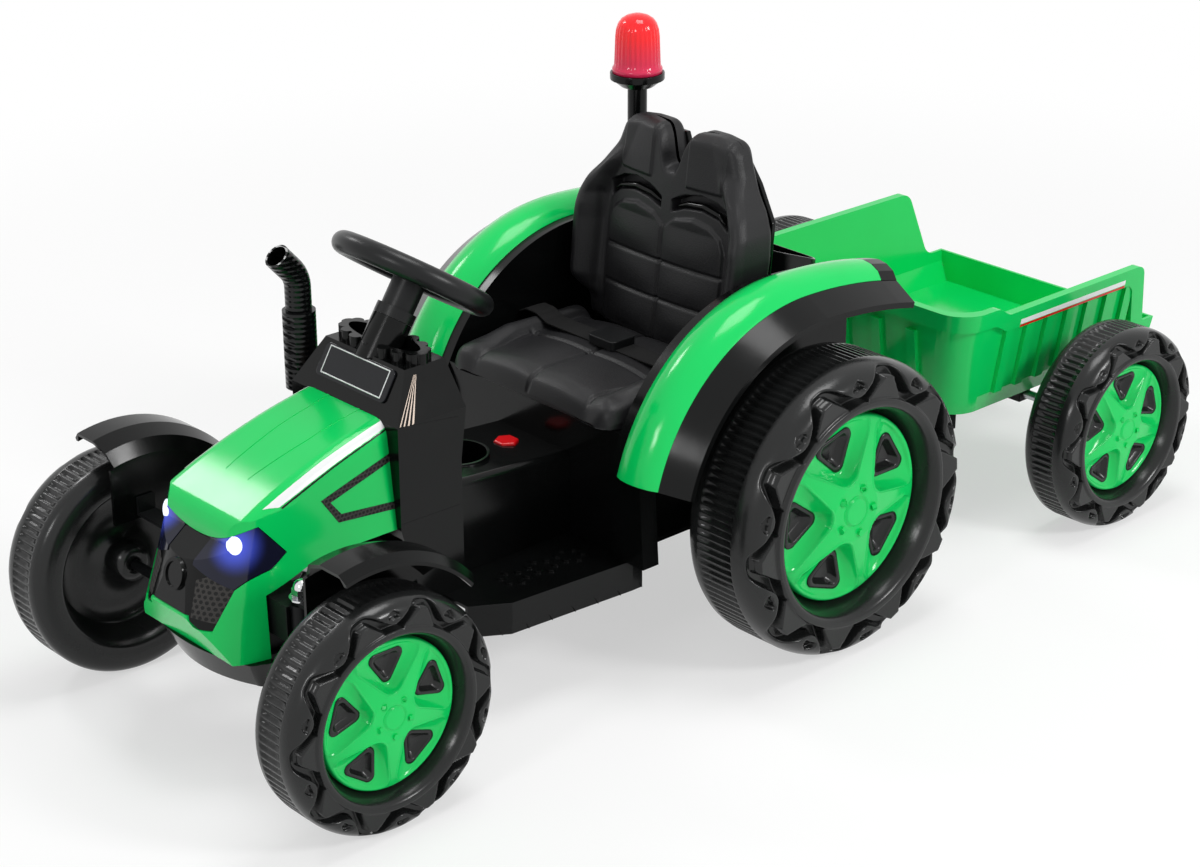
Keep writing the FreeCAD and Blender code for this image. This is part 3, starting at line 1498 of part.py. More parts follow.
def fender_run(section, front_angle, tail_behind):
    # Follows the rear wheel over its top, then runs out flatter to the tail
    front = turned_x(section, rear_axle_y, rear_tyre_radius, 0, front_angle)
    drop = fender_tail_radius - fender_band_radius
    tail_section = [(x, radius + drop) for x, radius in section]
    sweep = math.degrees(math.asin(tail_behind / fender_tail_radius))
    tail = turned_x(tail_section, rear_axle_y, rear_tyre_radius - drop, -sweep, sweep)
    return [front, tail]


def fender_tail(section, start_behind, end_behind):
    drop = fender_tail_radius - fender_band_radius
    start = math.degrees(math.asin(start_behind / fender_tail_radius))
    end = math.degrees(math.asin(end_behind / fender_tail_radius))
    raised = [(x, radius + drop) for x, radius in section]
    return turned_x(raised, rear_axle_y, rear_tyre_radius - drop, -end, end - start)


def cover_arch(wall):
    # Half-moon crown of the cover, from edge to edge, as (x, radius) points
    span = cover_outer - cover_inner - 2 * wall
    rise = cover_rise - wall
    return [(cover_inner + wall + span * across,
             fender_band_radius + rise * up) for across, up in cover_arch_shares]


def rear_fender():
    top = fender_band_radius
    low = top - fender_wall
    inner = seat_box_half_width
    section = [(inner, low), (inner, top), (fender_band_outer, top),
               (fender_valence_outer, fender_valence_radius),
               (fender_valence_outer, fender_valence_radius - fender_lip),
               (fender_valence_outer - fender_wall, fender_valence_radius - fender_lip),
               (fender_valence_outer - fender_wall, fender_valence_radius - fender_wall / 2),
               (fender_band_outer - fender_wall / 2, low)]
    pieces = fender_run(section, fender_front_angle, fender_tail_behind)
    block_section = [(inner, low)] + cover_arch(0) + [(fender_band_outer, top),
                     (fender_valence_outer, fender_valence_radius),
                     (fender_valence_outer, fender_valence_radius - fender_lip),
                     (fender_band_outer, low)]
    pieces.append(fender_tail(block_section, fender_tail_behind - fender_tail_block, fender_tail_behind))
    disc = Part.makeCylinder(top - fender_wall / 2, fender_wall, V(inner, rear_axle_y, rear_tyre_radius),
                             V(1, 0, 0))
    front_y = rear_axle_y - top
    web = disc.common(block(inner, inner + fender_wall, front_y, rear_axle_y, fender_inner_foot,
                            rear_tyre_radius + top))
    tail_y = rear_axle_y + fender_tail_behind
    sector = Part.makeCylinder(fender_tail_radius - fender_wall / 2, fender_wall,
                               V(inner, rear_axle_y, rear_tyre_radius + top - fender_tail_radius), V(1, 0, 0))
    tail_web = sector.common(block(inner, inner + fender_wall, rear_axle_y, tail_y, fender_inner_foot,
                                   rear_tyre_radius + top))
    angle = math.radians(fender_front_angle)
    foot_y = rear_axle_y - top * math.sin(angle)
    foot_z = rear_tyre_radius + top * math.cos(angle)
    strut = span_x([(foot_y, foot_z), (foot_y + fender_wall * 2, foot_z + fender_wall),
                    (foot_y + strut_depth, foot_z), (y_behind(footboard_rear), floor_height),
                    (y_behind(footboard_rear) - strut_depth, floor_height)], inner, strut_outer)
    strut = strut.cut(Part.makeCylinder(rear_tyre_radius + mudguard_gap / 2, strut_outer,
                                        V(0, rear_axle_y, rear_tyre_radius),
                                        V(1, 0, 0)))
    return joined(pieces + [web, tail_web, strut])


def fender_cover():
    arch = cover_arch(0)
    under = cover_arch(cover_wall)
    section = arch + list(reversed(under))
    pieces = fender_run(section, fender_front_angle, fender_tail_behind - fender_tail_block)
    thin = math.degrees(cover_wall / fender_band_radius)
    pieces.append(turned_x(arch, rear_axle_y, rear_tyre_radius, fender_front_angle - thin, thin))
    return joined(pieces)


# Drive, battery and control box

def gearbox():
    start = seat_box_half_width
    end = rear_wheel_face - rear_tyre_width - gearbox_gap
    centre = V(start, rear_axle_y, rear_tyre_radius)
    case = Part.makeCylinder(gearbox_radius, end - start, centre, V(1, 0, 0))
    motor_y = rear_axle_y - motor_offset
    toe = Part.makeCylinder(motor_radius + moulded_wall, gearbox_width, V(start, motor_y, rear_tyre_radius),
                            V(1, 0, 0))
    bridge = block(start, start + gearbox_width, motor_y, rear_axle_y, rear_tyre_radius - motor_radius,
                   rear_tyre_radius + motor_radius)
    whole = joined([case, toe, bridge])
    bore = Part.makeCylinder(rear_axle_radius + running_clearance, end, V(0, rear_axle_y, rear_tyre_radius),
                             V(1, 0, 0))
    return whole.cut(bore)


def drive_motors():
    motors = []
    for side in (-1, 1):
        outer = seat_box_half_width - moulded_wall
        inner = outer - motor_length
        low, high = sorted((side * inner, side * outer))
        motor_y = rear_axle_y - motor_offset
        motor = Part.makeCylinder(motor_radius, high - low, V(low, motor_y, rear_tyre_radius), V(1, 0, 0))
        tail = low if side > 0 else high
        nose = Part.makeCylinder(motor_radius / 2, motor_radius / 2, V(tail, motor_y, rear_tyre_radius),
                                 V(-side, 0, 0))
        motors.append(motor.fuse(nose))
    return Part.makeCompound(motors)


def battery():
    y = y_behind(battery_behind)
    case = block(-battery_length / 2, battery_length / 2, y - battery_width / 2, y + battery_width / 2,
                 floor_height,
                 floor_height + battery_height)
    posts = []
    post = battery_width / 8
    for side in (-1, 1):
        posts.append(Part.makeCylinder(post / 2, post,
                                       V(side * (battery_length / 2 - post), y - battery_width / 2 + post,
                                                         floor_height + battery_height)))
    return joined([case] + posts)


def control_box():
    y = y_behind(control_behind)
    return span_z(rectangle(control_length / 2, y - control_width / 2, y + control_width / 2), floor_height,
                  floor_height + control_height, control_height / 5)


# Hitch and trailer

def hitch_levels():
    top = trailer_floor_height + hitch_gap
    bottom = trailer_floor_height - drawbar_height - hitch_gap
    return bottom, top


def tow_bracket():
    bottom, top = hitch_levels()
    y = y_behind(hitch_behind)
    start = y_behind(seat_box_rear)
    half = hitch_plate_half_width
    plates = []
    for low in (top, bottom - hitch_plate_thickness):
        tongue = block(-half, half, start, y, low, low + hitch_plate_thickness)
        end = Part.makeCylinder(half, hitch_plate_thickness, V(0, y, low))
        plates.append(tongue.fuse(end))
    wide = rail_spacing + rail_width / 2
    plate_low = floor_height - floor_thickness - rail_height
    back = block(-wide, wide, start, start + hitch_plate_thickness,
                 min(plate_low, bottom - hitch_plate_thickness),
                 top + hitch_plate_thickness)
    bracket = joined([back] + plates)
    return bracket.cut(Part.makeCylinder(hitch_pin_radius + running_clearance, top,
                                         V(0, y, bottom - cut_overrun)))


def hitch_pin():
    bottom, top = hitch_levels()
    y = y_behind(hitch_behind)
    seat = top + hitch_plate_thickness
    foot = bottom - hitch_plate_thickness - hitch_pin_tail
    section = [(0, foot), (hitch_pin_radius / 2, foot), (hitch_pin_radius, foot + hitch_pin_radius / 2),
               (hitch_pin_radius, seat), (hitch_pin_head_radius, seat),
               (hitch_pin_head_radius, seat + hitch_pin_head_height), (0, seat + hitch_pin_head_height)]
    return turned_z(section, 0, y)


def trailer_frame():
    low = trailer_floor_height - drawbar_height
    high = trailer_floor_height
    half = drawbar_width / 2
    hitch_y = y_behind(hitch_behind)
    rear = train_rear_y - tub_gate_lean - tub_wall - trailer_cross_width
    bar = block(-half, half, hitch_y, rear, low, high)
    eye = Part.makeCylinder(half, drawbar_height, V(0, hitch_y, low))
    pieces = [bar, eye]
    front_cross = y_behind(tub_front_behind) + tub_front_lean + trailer_cross_width
    for y in (front_cross, trailer_axle_y, rear):
        pieces.append(block(-trailer_cross_half_width, trailer_cross_half_width, y - trailer_cross_width / 2,
                            y + trailer_cross_width / 2, low, high))
    frame = joined(pieces)
    frame = frame.cut(Part.makeCylinder(hitch_pin_radius + running_clearance, high,
                                        V(0, hitch_y, low - cut_overrun)))
    axle = axle_rod(trailer_wheel_face, front_tyre_width, trailer_axle_radius, trailer_axle_y,
                    front_tyre_radius,
                    running_clearance)
    return frame.cut(axle)


def tub_plan(half, front, rear, corner, z):
    bend = corner * (1 - math.sqrt(1 / 2))
    left = Part.Arc(V(half, front + corner, z), V(half - bend, front + bend, z), V(half - corner, front, z))
    right = Part.Arc(V(corner - half, front, z), V(bend - half, front + bend, z), V(-half, front + corner, z))
    back = [V(-half, front + corner, z), V(-half, rear, z), V(half, rear, z), V(half, front + corner, z)]
    nose = Part.makeLine(V(half - corner, front, z), V(corner - half, front, z))
    lines = [Part.makeLine(a, b) for a, b in zip(back, back[1:])]
    return Part.Wire([left.toShape(), nose, right.toShape()] + lines)


def tub_form(inset, foot):
    # A narrow slanted band round the bottom, then tall walls
    # The gate reaches the train's rear end at its own top
    front = y_behind(tub_front_behind)
    slope = tub_gate_lean / (tub_gate_top - trailer_floor_height)
    plans = []
    levels = ((foot, tub_floor_half_width, tub_front_lean),
              (foot + tub_band_height, tub_floor_half_width + tub_band_out, tub_front_lean - tub_band_out),
              (tub_front_top, tub_half_width, 0))
    for z, half, lean in levels:
        rear = train_rear_y + slope * (z - tub_gate_top) - inset
        plans.append(tub_plan(half - inset, front + lean + inset, rear, tub_corner, z))
    return Part.makeLoft(plans, True, True)


def above_wall_line(drop):
    # Everything above the tub's stepped wall line, seen from the side, with the line set lower by drop
    front = y_behind(tub_front_behind) - cut_overrun
    step = y_behind(tub_front_behind + tub_step_back)
    peak = train_rear_y - tub_peak_before_rear
    turn = math.atan2(tub_side_top - tub_gate_top, tub_rear_slope)
    gate = peak + tub_rear_slope - drop / math.sin(turn)
    over = 2 * tub_front_top
    rear = train_rear_y + 2 * tub_bend_radius + cut_overrun
    points = [(front, tub_front_top - drop), (step, tub_front_top - drop),
              (step + tub_step_run, tub_side_top - drop),
              (peak - drop * math.tan(turn / 2), tub_side_top - drop), (gate, tub_gate_top),
              (rear, tub_gate_top),
              (rear, over), (front, over)]
    wide = tub_half_width + tub_rim_out + cut_overrun
    return span_x(points, -wide, wide, tub_bend_radius)


def tub_ribs():
    ribs = []
    front = y_behind(tub_front_behind)
    low = trailer_floor_height + tub_band_height
    high = tub_side_top - tub_rim_height
    share = (high - low) / (tub_front_top - low)
    low_half = tub_floor_half_width + tub_band_out
    half = low_half + (tub_half_width - low_half) * share
    start = front + tub_corner + tub_front_lean
    pitch = (train_rear_y - tub_peak_before_rear - start) / tub_rib_count
    for index in range(tub_rib_count):
        y = start + pitch * (index + 1 / 2)
        points = [(low_half, low), (low_half + tub_rib_out, low), (half + tub_rib_out, high), (half, high)]
        rib = span_y(points, y - tub_rib_width / 2, y + tub_rib_width / 2)
        ribs += [rib, mirrored(rib)]
    low_lean = tub_front_lean - tub_band_out
    lean = low_lean * (1 - share)
    pitch = 2 * (tub_half_width - tub_corner - tub_rib_width) / tub_front_rib_count
    for index in range(tub_front_rib_count):
        x = pitch * (index - (tub_front_rib_count - 1) / 2)
        points = [(front + low_lean, low), (front + low_lean - tub_rib_out, low),
                  (front + lean - tub_rib_out, high),
                  (front + lean, high)]
        ribs.append(span_x(points, x - tub_rib_width / 2, x + tub_rib_width / 2))
    return ribs


def trailer_tub():
    gate = train_rear_y - tub_peak_before_rear + tub_rear_slope
    wide = tub_half_width + tub_rim_out
    ahead_of_gate = block(-wide, wide, y_behind(tub_front_behind) - tub_rim_out, gate, trailer_floor_height,
                          tub_front_top)
    band = above_wall_line(tub_rim_height)
    rim = tub_form(-tub_rim_out, trailer_floor_height).common(band).common(ahead_of_gate)
    shell = joined([tub_form(0, trailer_floor_height), rim] + tub_ribs())
    shell = shell.cut(tub_form(tub_wall, trailer_floor_height + tub_wall))
    return shell.cut(above_wall_line(0)).removeSplitter()


def trailer_axle():
    return axle_rod(trailer_wheel_face, front_tyre_width, trailer_axle_radius, trailer_axle_y,
                    front_tyre_radius)


def rear_axle():
    return axle_rod(rear_wheel_face, rear_tyre_width, rear_axle_radius, rear_axle_y, rear_tyre_radius)


small_tyre = tyre(front_tyre_radius, front_tyre_width, stub_axle_radius)
small_cap = wheel_cap(front_tyre_radius, front_tyre_width)
save_wheel("front", small_tyre, small_cap, front_wheel_face, front_axle_y, front_tyre_radius, 0)
save_wheel("trailer", small_tyre, small_cap, trailer_wheel_face, trailer_axle_y, front_tyre_radius, 0)
big_tyre = tyre(rear_tyre_radius, rear_tyre_width, rear_axle_radius)
big_cap = wheel_cap(rear_tyre_radius, rear_tyre_width)
save_wheel("rear", big_tyre, big_cap, rear_wheel_face, rear_axle_y, rear_tyre_radius, 180 / spoke_count)

pairs = {"knuckle": knuckle(), "kingpin_nut": kingpin_nut(), "front_mudguard": front_mudguard(),
         "rear_fender": rear_fender(),
         "fender_cover": fender_cover(), "gearbox": gearbox()}
for name, shape in pairs.items():
    save(name + "_left", shape)
    save(name + "_right", mirrored(shape))

singles = {"chassis_frame": chassis_frame(), "front_axle_beam": front_axle_beam(),
           "tie_rod": tie_rod(), "hood": hood(), "grille": grille(), "headlight_lenses": headlight_lenses(),
           "front_bumper": front_bumper(), "dash_cowl": dash_cowl(), "dash_panel": dash_panel(),
           "exhaust_stack": exhaust_stack(), "steering_wheel": steering_wheel(), "horn_button": horn_button(),
           "steering_shaft": steering_shaft(), "floor_pan": floor_pan(), "centre_console": centre_console(),
           "start_button": start_button(), "accelerator_pedal": accelerator_pedal(), "seat_box": seat_box(),
           "seat_cushion": seat_cushion(), "seat_back_pad": seat_back_pad(),
           "seat_back_shell": seat_back_shell(),
           "lap_belt": lap_belt(), "belt_buckle": belt_buckle(), "rear_basket": rear_basket(),
           "beacon_mast": beacon_mast(), "beacon_base": beacon_base(), "beacon_lens": beacon_lens(),
           "drive_motors": drive_motors(), "battery": battery(), "control_box": control_box(),
           "rear_axle": rear_axle(), "tow_bracket": tow_bracket(), "hitch_pin": hitch_pin(),
           "trailer_frame": trailer_frame(), "trailer_axle": trailer_axle(), "trailer_tub": trailer_tub()}
for name, shape in singles.items():
    save(name, shape)
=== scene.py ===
import math

import bpy
import numpy as np
from mathutils import Euler, Matrix, Vector


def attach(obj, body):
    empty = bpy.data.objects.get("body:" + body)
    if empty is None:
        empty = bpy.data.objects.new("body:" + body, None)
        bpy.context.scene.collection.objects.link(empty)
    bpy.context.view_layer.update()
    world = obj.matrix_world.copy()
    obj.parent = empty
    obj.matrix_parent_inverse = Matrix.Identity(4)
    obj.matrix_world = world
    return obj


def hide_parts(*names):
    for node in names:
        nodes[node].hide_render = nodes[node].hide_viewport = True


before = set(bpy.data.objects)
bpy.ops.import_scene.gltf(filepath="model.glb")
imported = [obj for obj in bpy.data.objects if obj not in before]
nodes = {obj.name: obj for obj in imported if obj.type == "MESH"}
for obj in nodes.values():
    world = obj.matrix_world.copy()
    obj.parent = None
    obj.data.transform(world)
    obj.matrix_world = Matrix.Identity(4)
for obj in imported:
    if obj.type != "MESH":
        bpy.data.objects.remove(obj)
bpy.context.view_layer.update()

# Chassis rails, front axle beam, steering links, tow bracket and trailer frame.
# Steel tube and folded strip, welded, then powder coated black: the coat
# rounds every edge and cures with a fine orange peel.


def linear(hex_colour):
    # An sRGB hex colour as linear shares
    shares = [int(hex_colour[at:at + 2], 16) / 255 for at in (1, 3, 5)]
    return tuple(s / 12.92 if s <= 0.04045 else ((s + 0.055) / 1.055) ** 2.4 for s in shares) + (1.0,)


def add(tree, kind, inputs, **settings):
    # One shader node with its settings; an input is a value or another node's output
    node = tree.nodes.new("ShaderNode" + kind)
    for name, value in settings.items():
        setattr(node, name, value)
    for socket, value in inputs.items():
        if isinstance(value, bpy.types.NodeSocket):
            tree.links.new(value, node.inputs[socket])
        else:
            node.inputs[socket].default_value = value
    return node


def new_material(name):
    # An empty material, its node tree, and the place on the piece that its patterns read
    material = bpy.data.materials.new(name)
    material.use_nodes = True
    material.node_tree.nodes.clear()
    place = add(material.node_tree, "TexCoord", {}).outputs["Object"]
    return material, material.node_tree, place


def per_mm(size):
    # The scale of a pattern whose marks are this many millimetres wide
    return 1000.0 / size


weld_gap = 0.00001
flat_degrees = 0.5
edge_degrees = 32.0
edge_steps = 2


def dress(name, material, edge_mm=0.0):
    # The CAD solid stays, with its finish and with its sharp corners eased
    node = nodes[name]
    node.data.materials.clear()
    node.data.materials.append(material)
    if edge_mm:
        weld = node.modifiers.new("weld", "WELD")
        weld.merge_threshold = weld_gap
        flat = node.modifiers.new("flat", "DECIMATE")
        flat.decimate_type = "DISSOLVE"
        flat.angle_limit = math.radians(flat_degrees)
        ease = node.modifiers.new("ease", "BEVEL")
        ease.width = edge_mm / 1000
        ease.segments = edge_steps
        ease.limit_method = "ANGLE"
        ease.angle_limit = math.radians(edge_degrees)
        even = node.modifiers.new("even", "WEIGHTED_NORMAL")
        even.keep_sharp = True


coated_steel, tree, place = new_material("powder_coated_steel")
peel = add(tree, "TexNoise", {"Vector": place, "Scale": per_mm(3), "Detail": 2.0})
dull = add(tree, "TexNoise", {"Vector": place, "Scale": per_mm(40), "Detail": 4.0})
gloss = add(tree, "MapRange", {"Value": dull.outputs["Fac"], "To Min": 0.34, "To Max": 0.52})
relief = add(tree, "Bump", {"Height": peel.outputs["Fac"], "Strength": 0.35, "Distance": 0.0003})
coat = add(tree, "BsdfPrincipled", {"Base Color": linear("#0D0E0F"), "Roughness": gloss.outputs["Result"],
                                    "Specular IOR Level": 0.16, "Normal": relief.outputs["Normal"]})
add(tree, "OutputMaterial", {"Surface": coat.outputs["BSDF"]})

for name in ("chassis_frame", "front_axle_beam", "knuckle_left", "knuckle_right", "tie_rod", "tow_bracket",
             "trailer_frame"):
    dress(name, coated_steel, edge_mm=1.0)

# Axles, steering shaft and hitch pin.
# Turned mild steel rod, zinc plated: a grey metal with fine turning marks
# round it and cloudy patches in the plating.

zinc_steel, tree, place = new_material("zinc_plated_steel")
cloud = add(tree, "TexNoise", {"Vector": place, "Scale": per_mm(14), "Detail": 4.0})
tone = add(tree, "Mix", {"Factor": cloud.outputs["Fac"], 6: linear("#9FA2A4"), 7: linear("#C3C5C6")},
           data_type="RGBA")
rough = add(tree, "MapRange", {"Value": cloud.outputs["Fac"], "To Min": 0.24, "To Max": 0.42})
stretch = add(tree, "Mapping", {"Vector": place, "Scale": (per_mm(0.6), per_mm(12), per_mm(12))})
marks = add(tree, "TexNoise", {"Vector": stretch.outputs["Vector"], "Scale": 1.0, "Detail": 2.0})
relief = add(tree, "Bump", {"Height": marks.outputs["Fac"], "Strength": 0.2, "Distance": 0.0002})
metal = add(tree, "BsdfPrincipled", {"Base Color": tone.outputs[2], "Metallic": 1.0,
                                     "Roughness": rough.outputs["Result"],
                                     "Normal": relief.outputs["Normal"]})
add(tree, "OutputMaterial", {"Surface": metal.outputs["BSDF"]})

for name in ("rear_axle", "trailer_axle", "steering_shaft", "hitch_pin"):
    dress(name, zinc_steel, edge_mm=0.6)

# Acorn nuts on the kingpins.
# Steel, nickel plated and polished, so they mirror the room with hardly a blur.
# Each is screwed down on the end of its kingpin.

bright_nickel, tree, place = new_material("polished_nickel_plate")
haze = add(tree, "TexNoise", {"Vector": place, "Scale": per_mm(5), "Detail": 3.0})
rough = add(tree, "MapRange", {"Value": haze.outputs["Fac"], "To Min": 0.06, "To Max": 0.16})
metal = add(tree, "BsdfPrincipled", {"Base Color": linear("#D9DADC"), "Metallic": 1.0,
                                     "Roughness": rough.outputs["Result"]})
add(tree, "OutputMaterial", {"Surface": metal.outputs["BSDF"]})

for name in ("kingpin_nut_left", "kingpin_nut_right"):
    dress(name, bright_nickel, edge_mm=0.6)

# Gearboxes, motors, battery and control box under the seat.
# Bought-in drive parts in plain cases, moulded in dark grey nylon and left matt.

flow_mm = 70
handled_mm = 28
dulling_shares = (0.75, 1.3)


def moulded(name, colour, shade, rough, grain_mm, depth_mm, specular=0.5):
    # Moulded plastic: flow in the mould tints it faintly, handling dulls it in patches
    material, tree, place = new_material(name)
    flow = add(tree, "TexNoise", {"Vector": place, "Scale": per_mm(flow_mm), "Detail": 3.0})
    tint = add(tree, "Mix", {"Factor": flow.outputs["Fac"], 6: linear(colour), 7: linear(shade)},
               data_type="RGBA")
    handled = add(tree, "TexNoise", {"Vector": place, "Scale": per_mm(handled_mm), "Detail": 5.0})
    dull = add(tree, "MapRange", {"Value": handled.outputs["Fac"], "To Min": rough * dulling_shares[0],
                                  "To Max": rough * dulling_shares[1]})
    grain = add(tree, "TexNoise", {"Vector": place, "Scale": per_mm(grain_mm), "Detail": 2.0})
    relief = add(tree, "Bump", {"Height": grain.outputs["Fac"], "Strength": 0.5,
                                "Distance": depth_mm / 1000})
    skin = add(tree, "BsdfPrincipled", {"Base Color": tint.outputs[2], "Roughness": dull.outputs["Result"],
                                        "Specular IOR Level": specular, "Normal": relief.outputs["Normal"]})
    add(tree, "OutputMaterial", {"Surface": skin.outputs["BSDF"]})
    return material


case_plastic = moulded("grey_nylon_case", "#3A3B3D", "#303133", rough=0.5, grain_mm=1.2, depth_mm=0.15)
for name in ("gearbox_left", "gearbox_right", "drive_motors", "battery", "control_box"):
    dress(name, case_plastic, edge_mm=1.0)

# Wheels: hollow blow-moulded polyethylene, tyre and rim in one black shell.
# The outer wall has ten rounded petals reaching in from the shoulder, ten flat
# wedges standing between them on the rim's lip, and a glossy channel around both.

wheel_plastic = moulded("blow_moulded_polyethylene", "#181919", "#1D1E1E", rough=0.22, grain_mm=5.0,
                        depth_mm=0.2, specular=0.34)
same_point = 0.000002


def wrapped_grid(name, rows, around, shape):
    # A grid wrapped round an axis: shape gives each row's points from their turn in radians
    bpy.ops.object.select_all(action="DESELECT")
    bpy.ops.mesh.primitive_grid_add(x_subdivisions=rows - 1, y_subdivisions=around, size=1)
    piece = bpy.context.object
    piece.name = name
    flat = np.empty(len(piece.data.vertices) * 3)
    piece.data.vertices.foreach_get("co", flat)
    flat = flat.reshape(-1, 3)
    row = np.rint((flat[:, 0] + 0.5) * (rows - 1)).astype(int)
    step = np.rint((flat[:, 1] + 0.5) * around).astype(int) % around
    piece.data.vertices.foreach_set("co", shape(row, step * 2 * math.pi / around).ravel())
    bpy.ops.object.mode_set(mode="EDIT")
    bpy.ops.mesh.select_all(action="SELECT")
    bpy.ops.mesh.remove_doubles(threshold=same_point)
    bpy.ops.mesh.normals_make_consistent(inside=False)
    bpy.ops.object.mode_set(mode="OBJECT")
    bpy.ops.object.shade_smooth()
    return piece


def step_of(turn, count):
    # Which of the points round the axis a turn belongs to
    return np.rint(turn * count / (2 * math.pi)).astype(int) % count


def step_up(value, width):
    # Nought below zero, one above it, eased over the width
    share = np.clip(value / width + 0.5, 0, 1)
    return share * share * (3 - 2 * share)


# In the pairs of shares, the first is a depth below the outer face over the tyre's width and
# the second a radius over the tyre's own; on the tread the second says where the ribs are
lug_count = 10
spoke_count = 5
barrel_shares = [(0.34, 0.05), (0.34, 0.30), (0.34, 0.60), (0.33, 0.640), (0.29, 0.654), (0.20, 0.668),
                 (0.10, 0.688), (0.045, 0.703), (0.014, 0.717), (0.0, 0.731), (0.0, 0.746), (0.0, 0.760)]
inside_shares = [(0.86, 0.995), (0.91, 0.98), (0.955, 0.955), (0.985, 0.92), (1.0, 0.88), (1.0, 0.76),
                 (0.97, 0.73), (0.82, 0.69), (0.56, 0.63), (0.47, 0.60), (0.46, 0.42), (0.46, 0.16),
                 (0.60, 0.15), (0.92, 0.15), (0.92, 0.05), (0.34, 0.05)]
tread_shares = [(0.305, 0.0), (0.315, 0.0), (0.322, 1.0), (0.45, 1.0), (0.60, 1.0), (0.745, 1.0),
                (0.752, 0.0), (0.79, 0.0)]
flat_start_share = 0.768
shoulder_start_share = 0.88
shoulder_depth_share = 0.30
flat_shares = np.linspace(flat_start_share, shoulder_start_share, 21)
arc_turns = np.linspace(0, math.pi / 2, 25)[1:]
petal_root_share = 0.978
petal_reach_share = 0.150
petal_width_share = 0.94
petal_edge_shares = (0.042, 0.021)
wedge_radius_shares = (0.770, 0.925)
wedge_half_shares = (0.168, 0.042)
wedge_sunk_shares = (0.030, 0.012)
lip_radius_share = 0.775
channel_depth_share = 0.16
edge_share = 0.014
eye_radius_share = 0.908
eye_size_shares = (0.056, 0.026)
eye_lean_share = 0.25
eye_depth_share = 0.07
eye_edge_share = 0.6
rib_mm = 2.5
rib_steepness = 1.7
points_per_rib = 6


def side_depth(radius, envelope, turn):
    # Depth below the outer face as a share of the tyre's width
    beat = np.abs((turn * lug_count / (2 * math.pi) + 0.5) % 1 - 0.5) * 2
    along = math.pi / lug_count * radius
    wave = 0.5 * (1 + np.cos(math.pi * np.minimum(beat / petal_width_share, 1)))
    petal_edge = np.interp(wave, (0, 1), petal_edge_shares)
    petal = step_up(radius - (petal_root_share - petal_reach_share * wave), petal_edge)
    half = np.interp(radius, wedge_radius_shares, wedge_half_shares)
    wedge = step_up(half - (1 - beat) * along, edge_share)
    wedge *= step_up(wedge_radius_shares[1] - radius, edge_share)
    lip = step_up(lip_radius_share - radius, edge_share)
    depth = np.full_like(radius, channel_depth_share)
    depth += (np.interp(radius, wedge_radius_shares, wedge_sunk_shares) - depth) * wedge
    depth += (envelope - depth) * petal
    depth -= depth * lip
    aside = beat * along
    eye = (aside / eye_size_shares[0]) ** 2
    eye += ((radius - eye_radius_share + eye_lean_share * aside) / eye_size_shares[1]) ** 2
    return depth + eye_depth_share * step_up(1 - eye, eye_edge_share)


def tyre(name, radius, width, rib_count):
    # The shell's section, row by row from the barrel over the side and the tread to the back
    arc_depths = shoulder_depth_share * (1 - np.cos(arc_turns))
    arc_radii = shoulder_start_share + (1 - shoulder_start_share) * np.sin(arc_turns)
    table = [(d, r, "plain") for d, r in barrel_shares]
    table += [(0.0, r, "side") for r in flat_shares]
    table += [(d, r, "side") for d, r in zip(arc_depths, arc_radii)]
    table += [(d, ribbed, "tread") for d, ribbed in tread_shares]
    table += [(d, r, "plain") for d, r in inside_shares]
    depths = np.array([d for d, r, kind in table])
    radii = np.array([r for d, r, kind in table])
    kinds = np.array([kind for d, r, kind in table])

    def shape(row, turn):
        depth = depths[row]
        out = radii[row]
        kind = kinds[row]
        on_side = kind == "side"
        depth[on_side] = side_depth(out[on_side], depth[on_side], turn[on_side])
        on_tread = kind == "tread"
        groove = np.clip(0.5 - rib_steepness * np.cos(rib_count * turn[on_tread]), 0, 1)
        out[on_tread] = 1 - rib_mm / 1000 / radius * groove * out[on_tread]
        return np.stack([-depth * width, out * radius * np.sin(turn), out * radius * np.cos(turn)], 1)

    return wrapped_grid(name, len(table), rib_count * points_per_rib, shape)


def triangle_corners(half_base, base, apex, corner):
    # The corner circles of a round-cornered triangle that points inwards, in shares of the tyre's
    # radius: each circle's centre, the way from the tip to it, and the corner's opening
    tips = np.array([(-half_base, base), (half_base, base), (0.0, apex)])
    circles = []
    for here, before, after in zip(tips, np.roll(tips, 1, 0), np.roll(tips, -1, 0)):
        back = (before - here) / np.linalg.norm(before - here)
        ahead = (after - here) / np.linalg.norm(after - here)
        opening = math.acos(float(back @ ahead))
        inward = (back + ahead) / np.linalg.norm(back + ahead)
        circles.append((here + inward * corner / math.sin(opening / 2), inward, opening))
    return circles


def rounded_triangle(half_base, base, apex, corner, count):
    # Points round such a triangle
    points = []
    for centre, inward, opening in triangle_corners(half_base, base, apex, corner):
        facing = math.atan2(-inward[1], -inward[0])
        sweep = math.pi - opening
        for part in range(count // 3):
            turn = facing + sweep * (0.5 - part / (count // 3 - 1))
            points.append(centre + corner * np.array([math.cos(turn), math.sin(turn)]))
    return np.array(points)


window_shares = (0.203, 0.550, 0.243)
window_corner_share = 0.052
pocket_size_shares = np.array([1.02, 1.02, 0.985, 0.78, 0.74, 0.52, 0.46, 0.0])
pocket_depth_shares = np.array([0.37, 0.256, 0.244, 0.242, 0.254, 0.332, 0.338, 0.338])
pocket_points = 36


def window_insert(name, radius, width):
    # The black shell shows through each window of the cap as a rimmed pocket
    ring = rounded_triangle(*window_shares, window_corner_share, pocket_points)
    middle = ring.mean(0)

    def shape(row, turn):
        corner = ring[step_of(turn, pocket_points)]
        point = middle + (corner - middle) * pocket_size_shares[row][:, None]
        return np.stack([-pocket_depth_shares[row] * width, point[:, 0] * radius, point[:, 1] * radius], 1)

    return wrapped_grid(name, len(pocket_size_shares), pocket_points, shape)


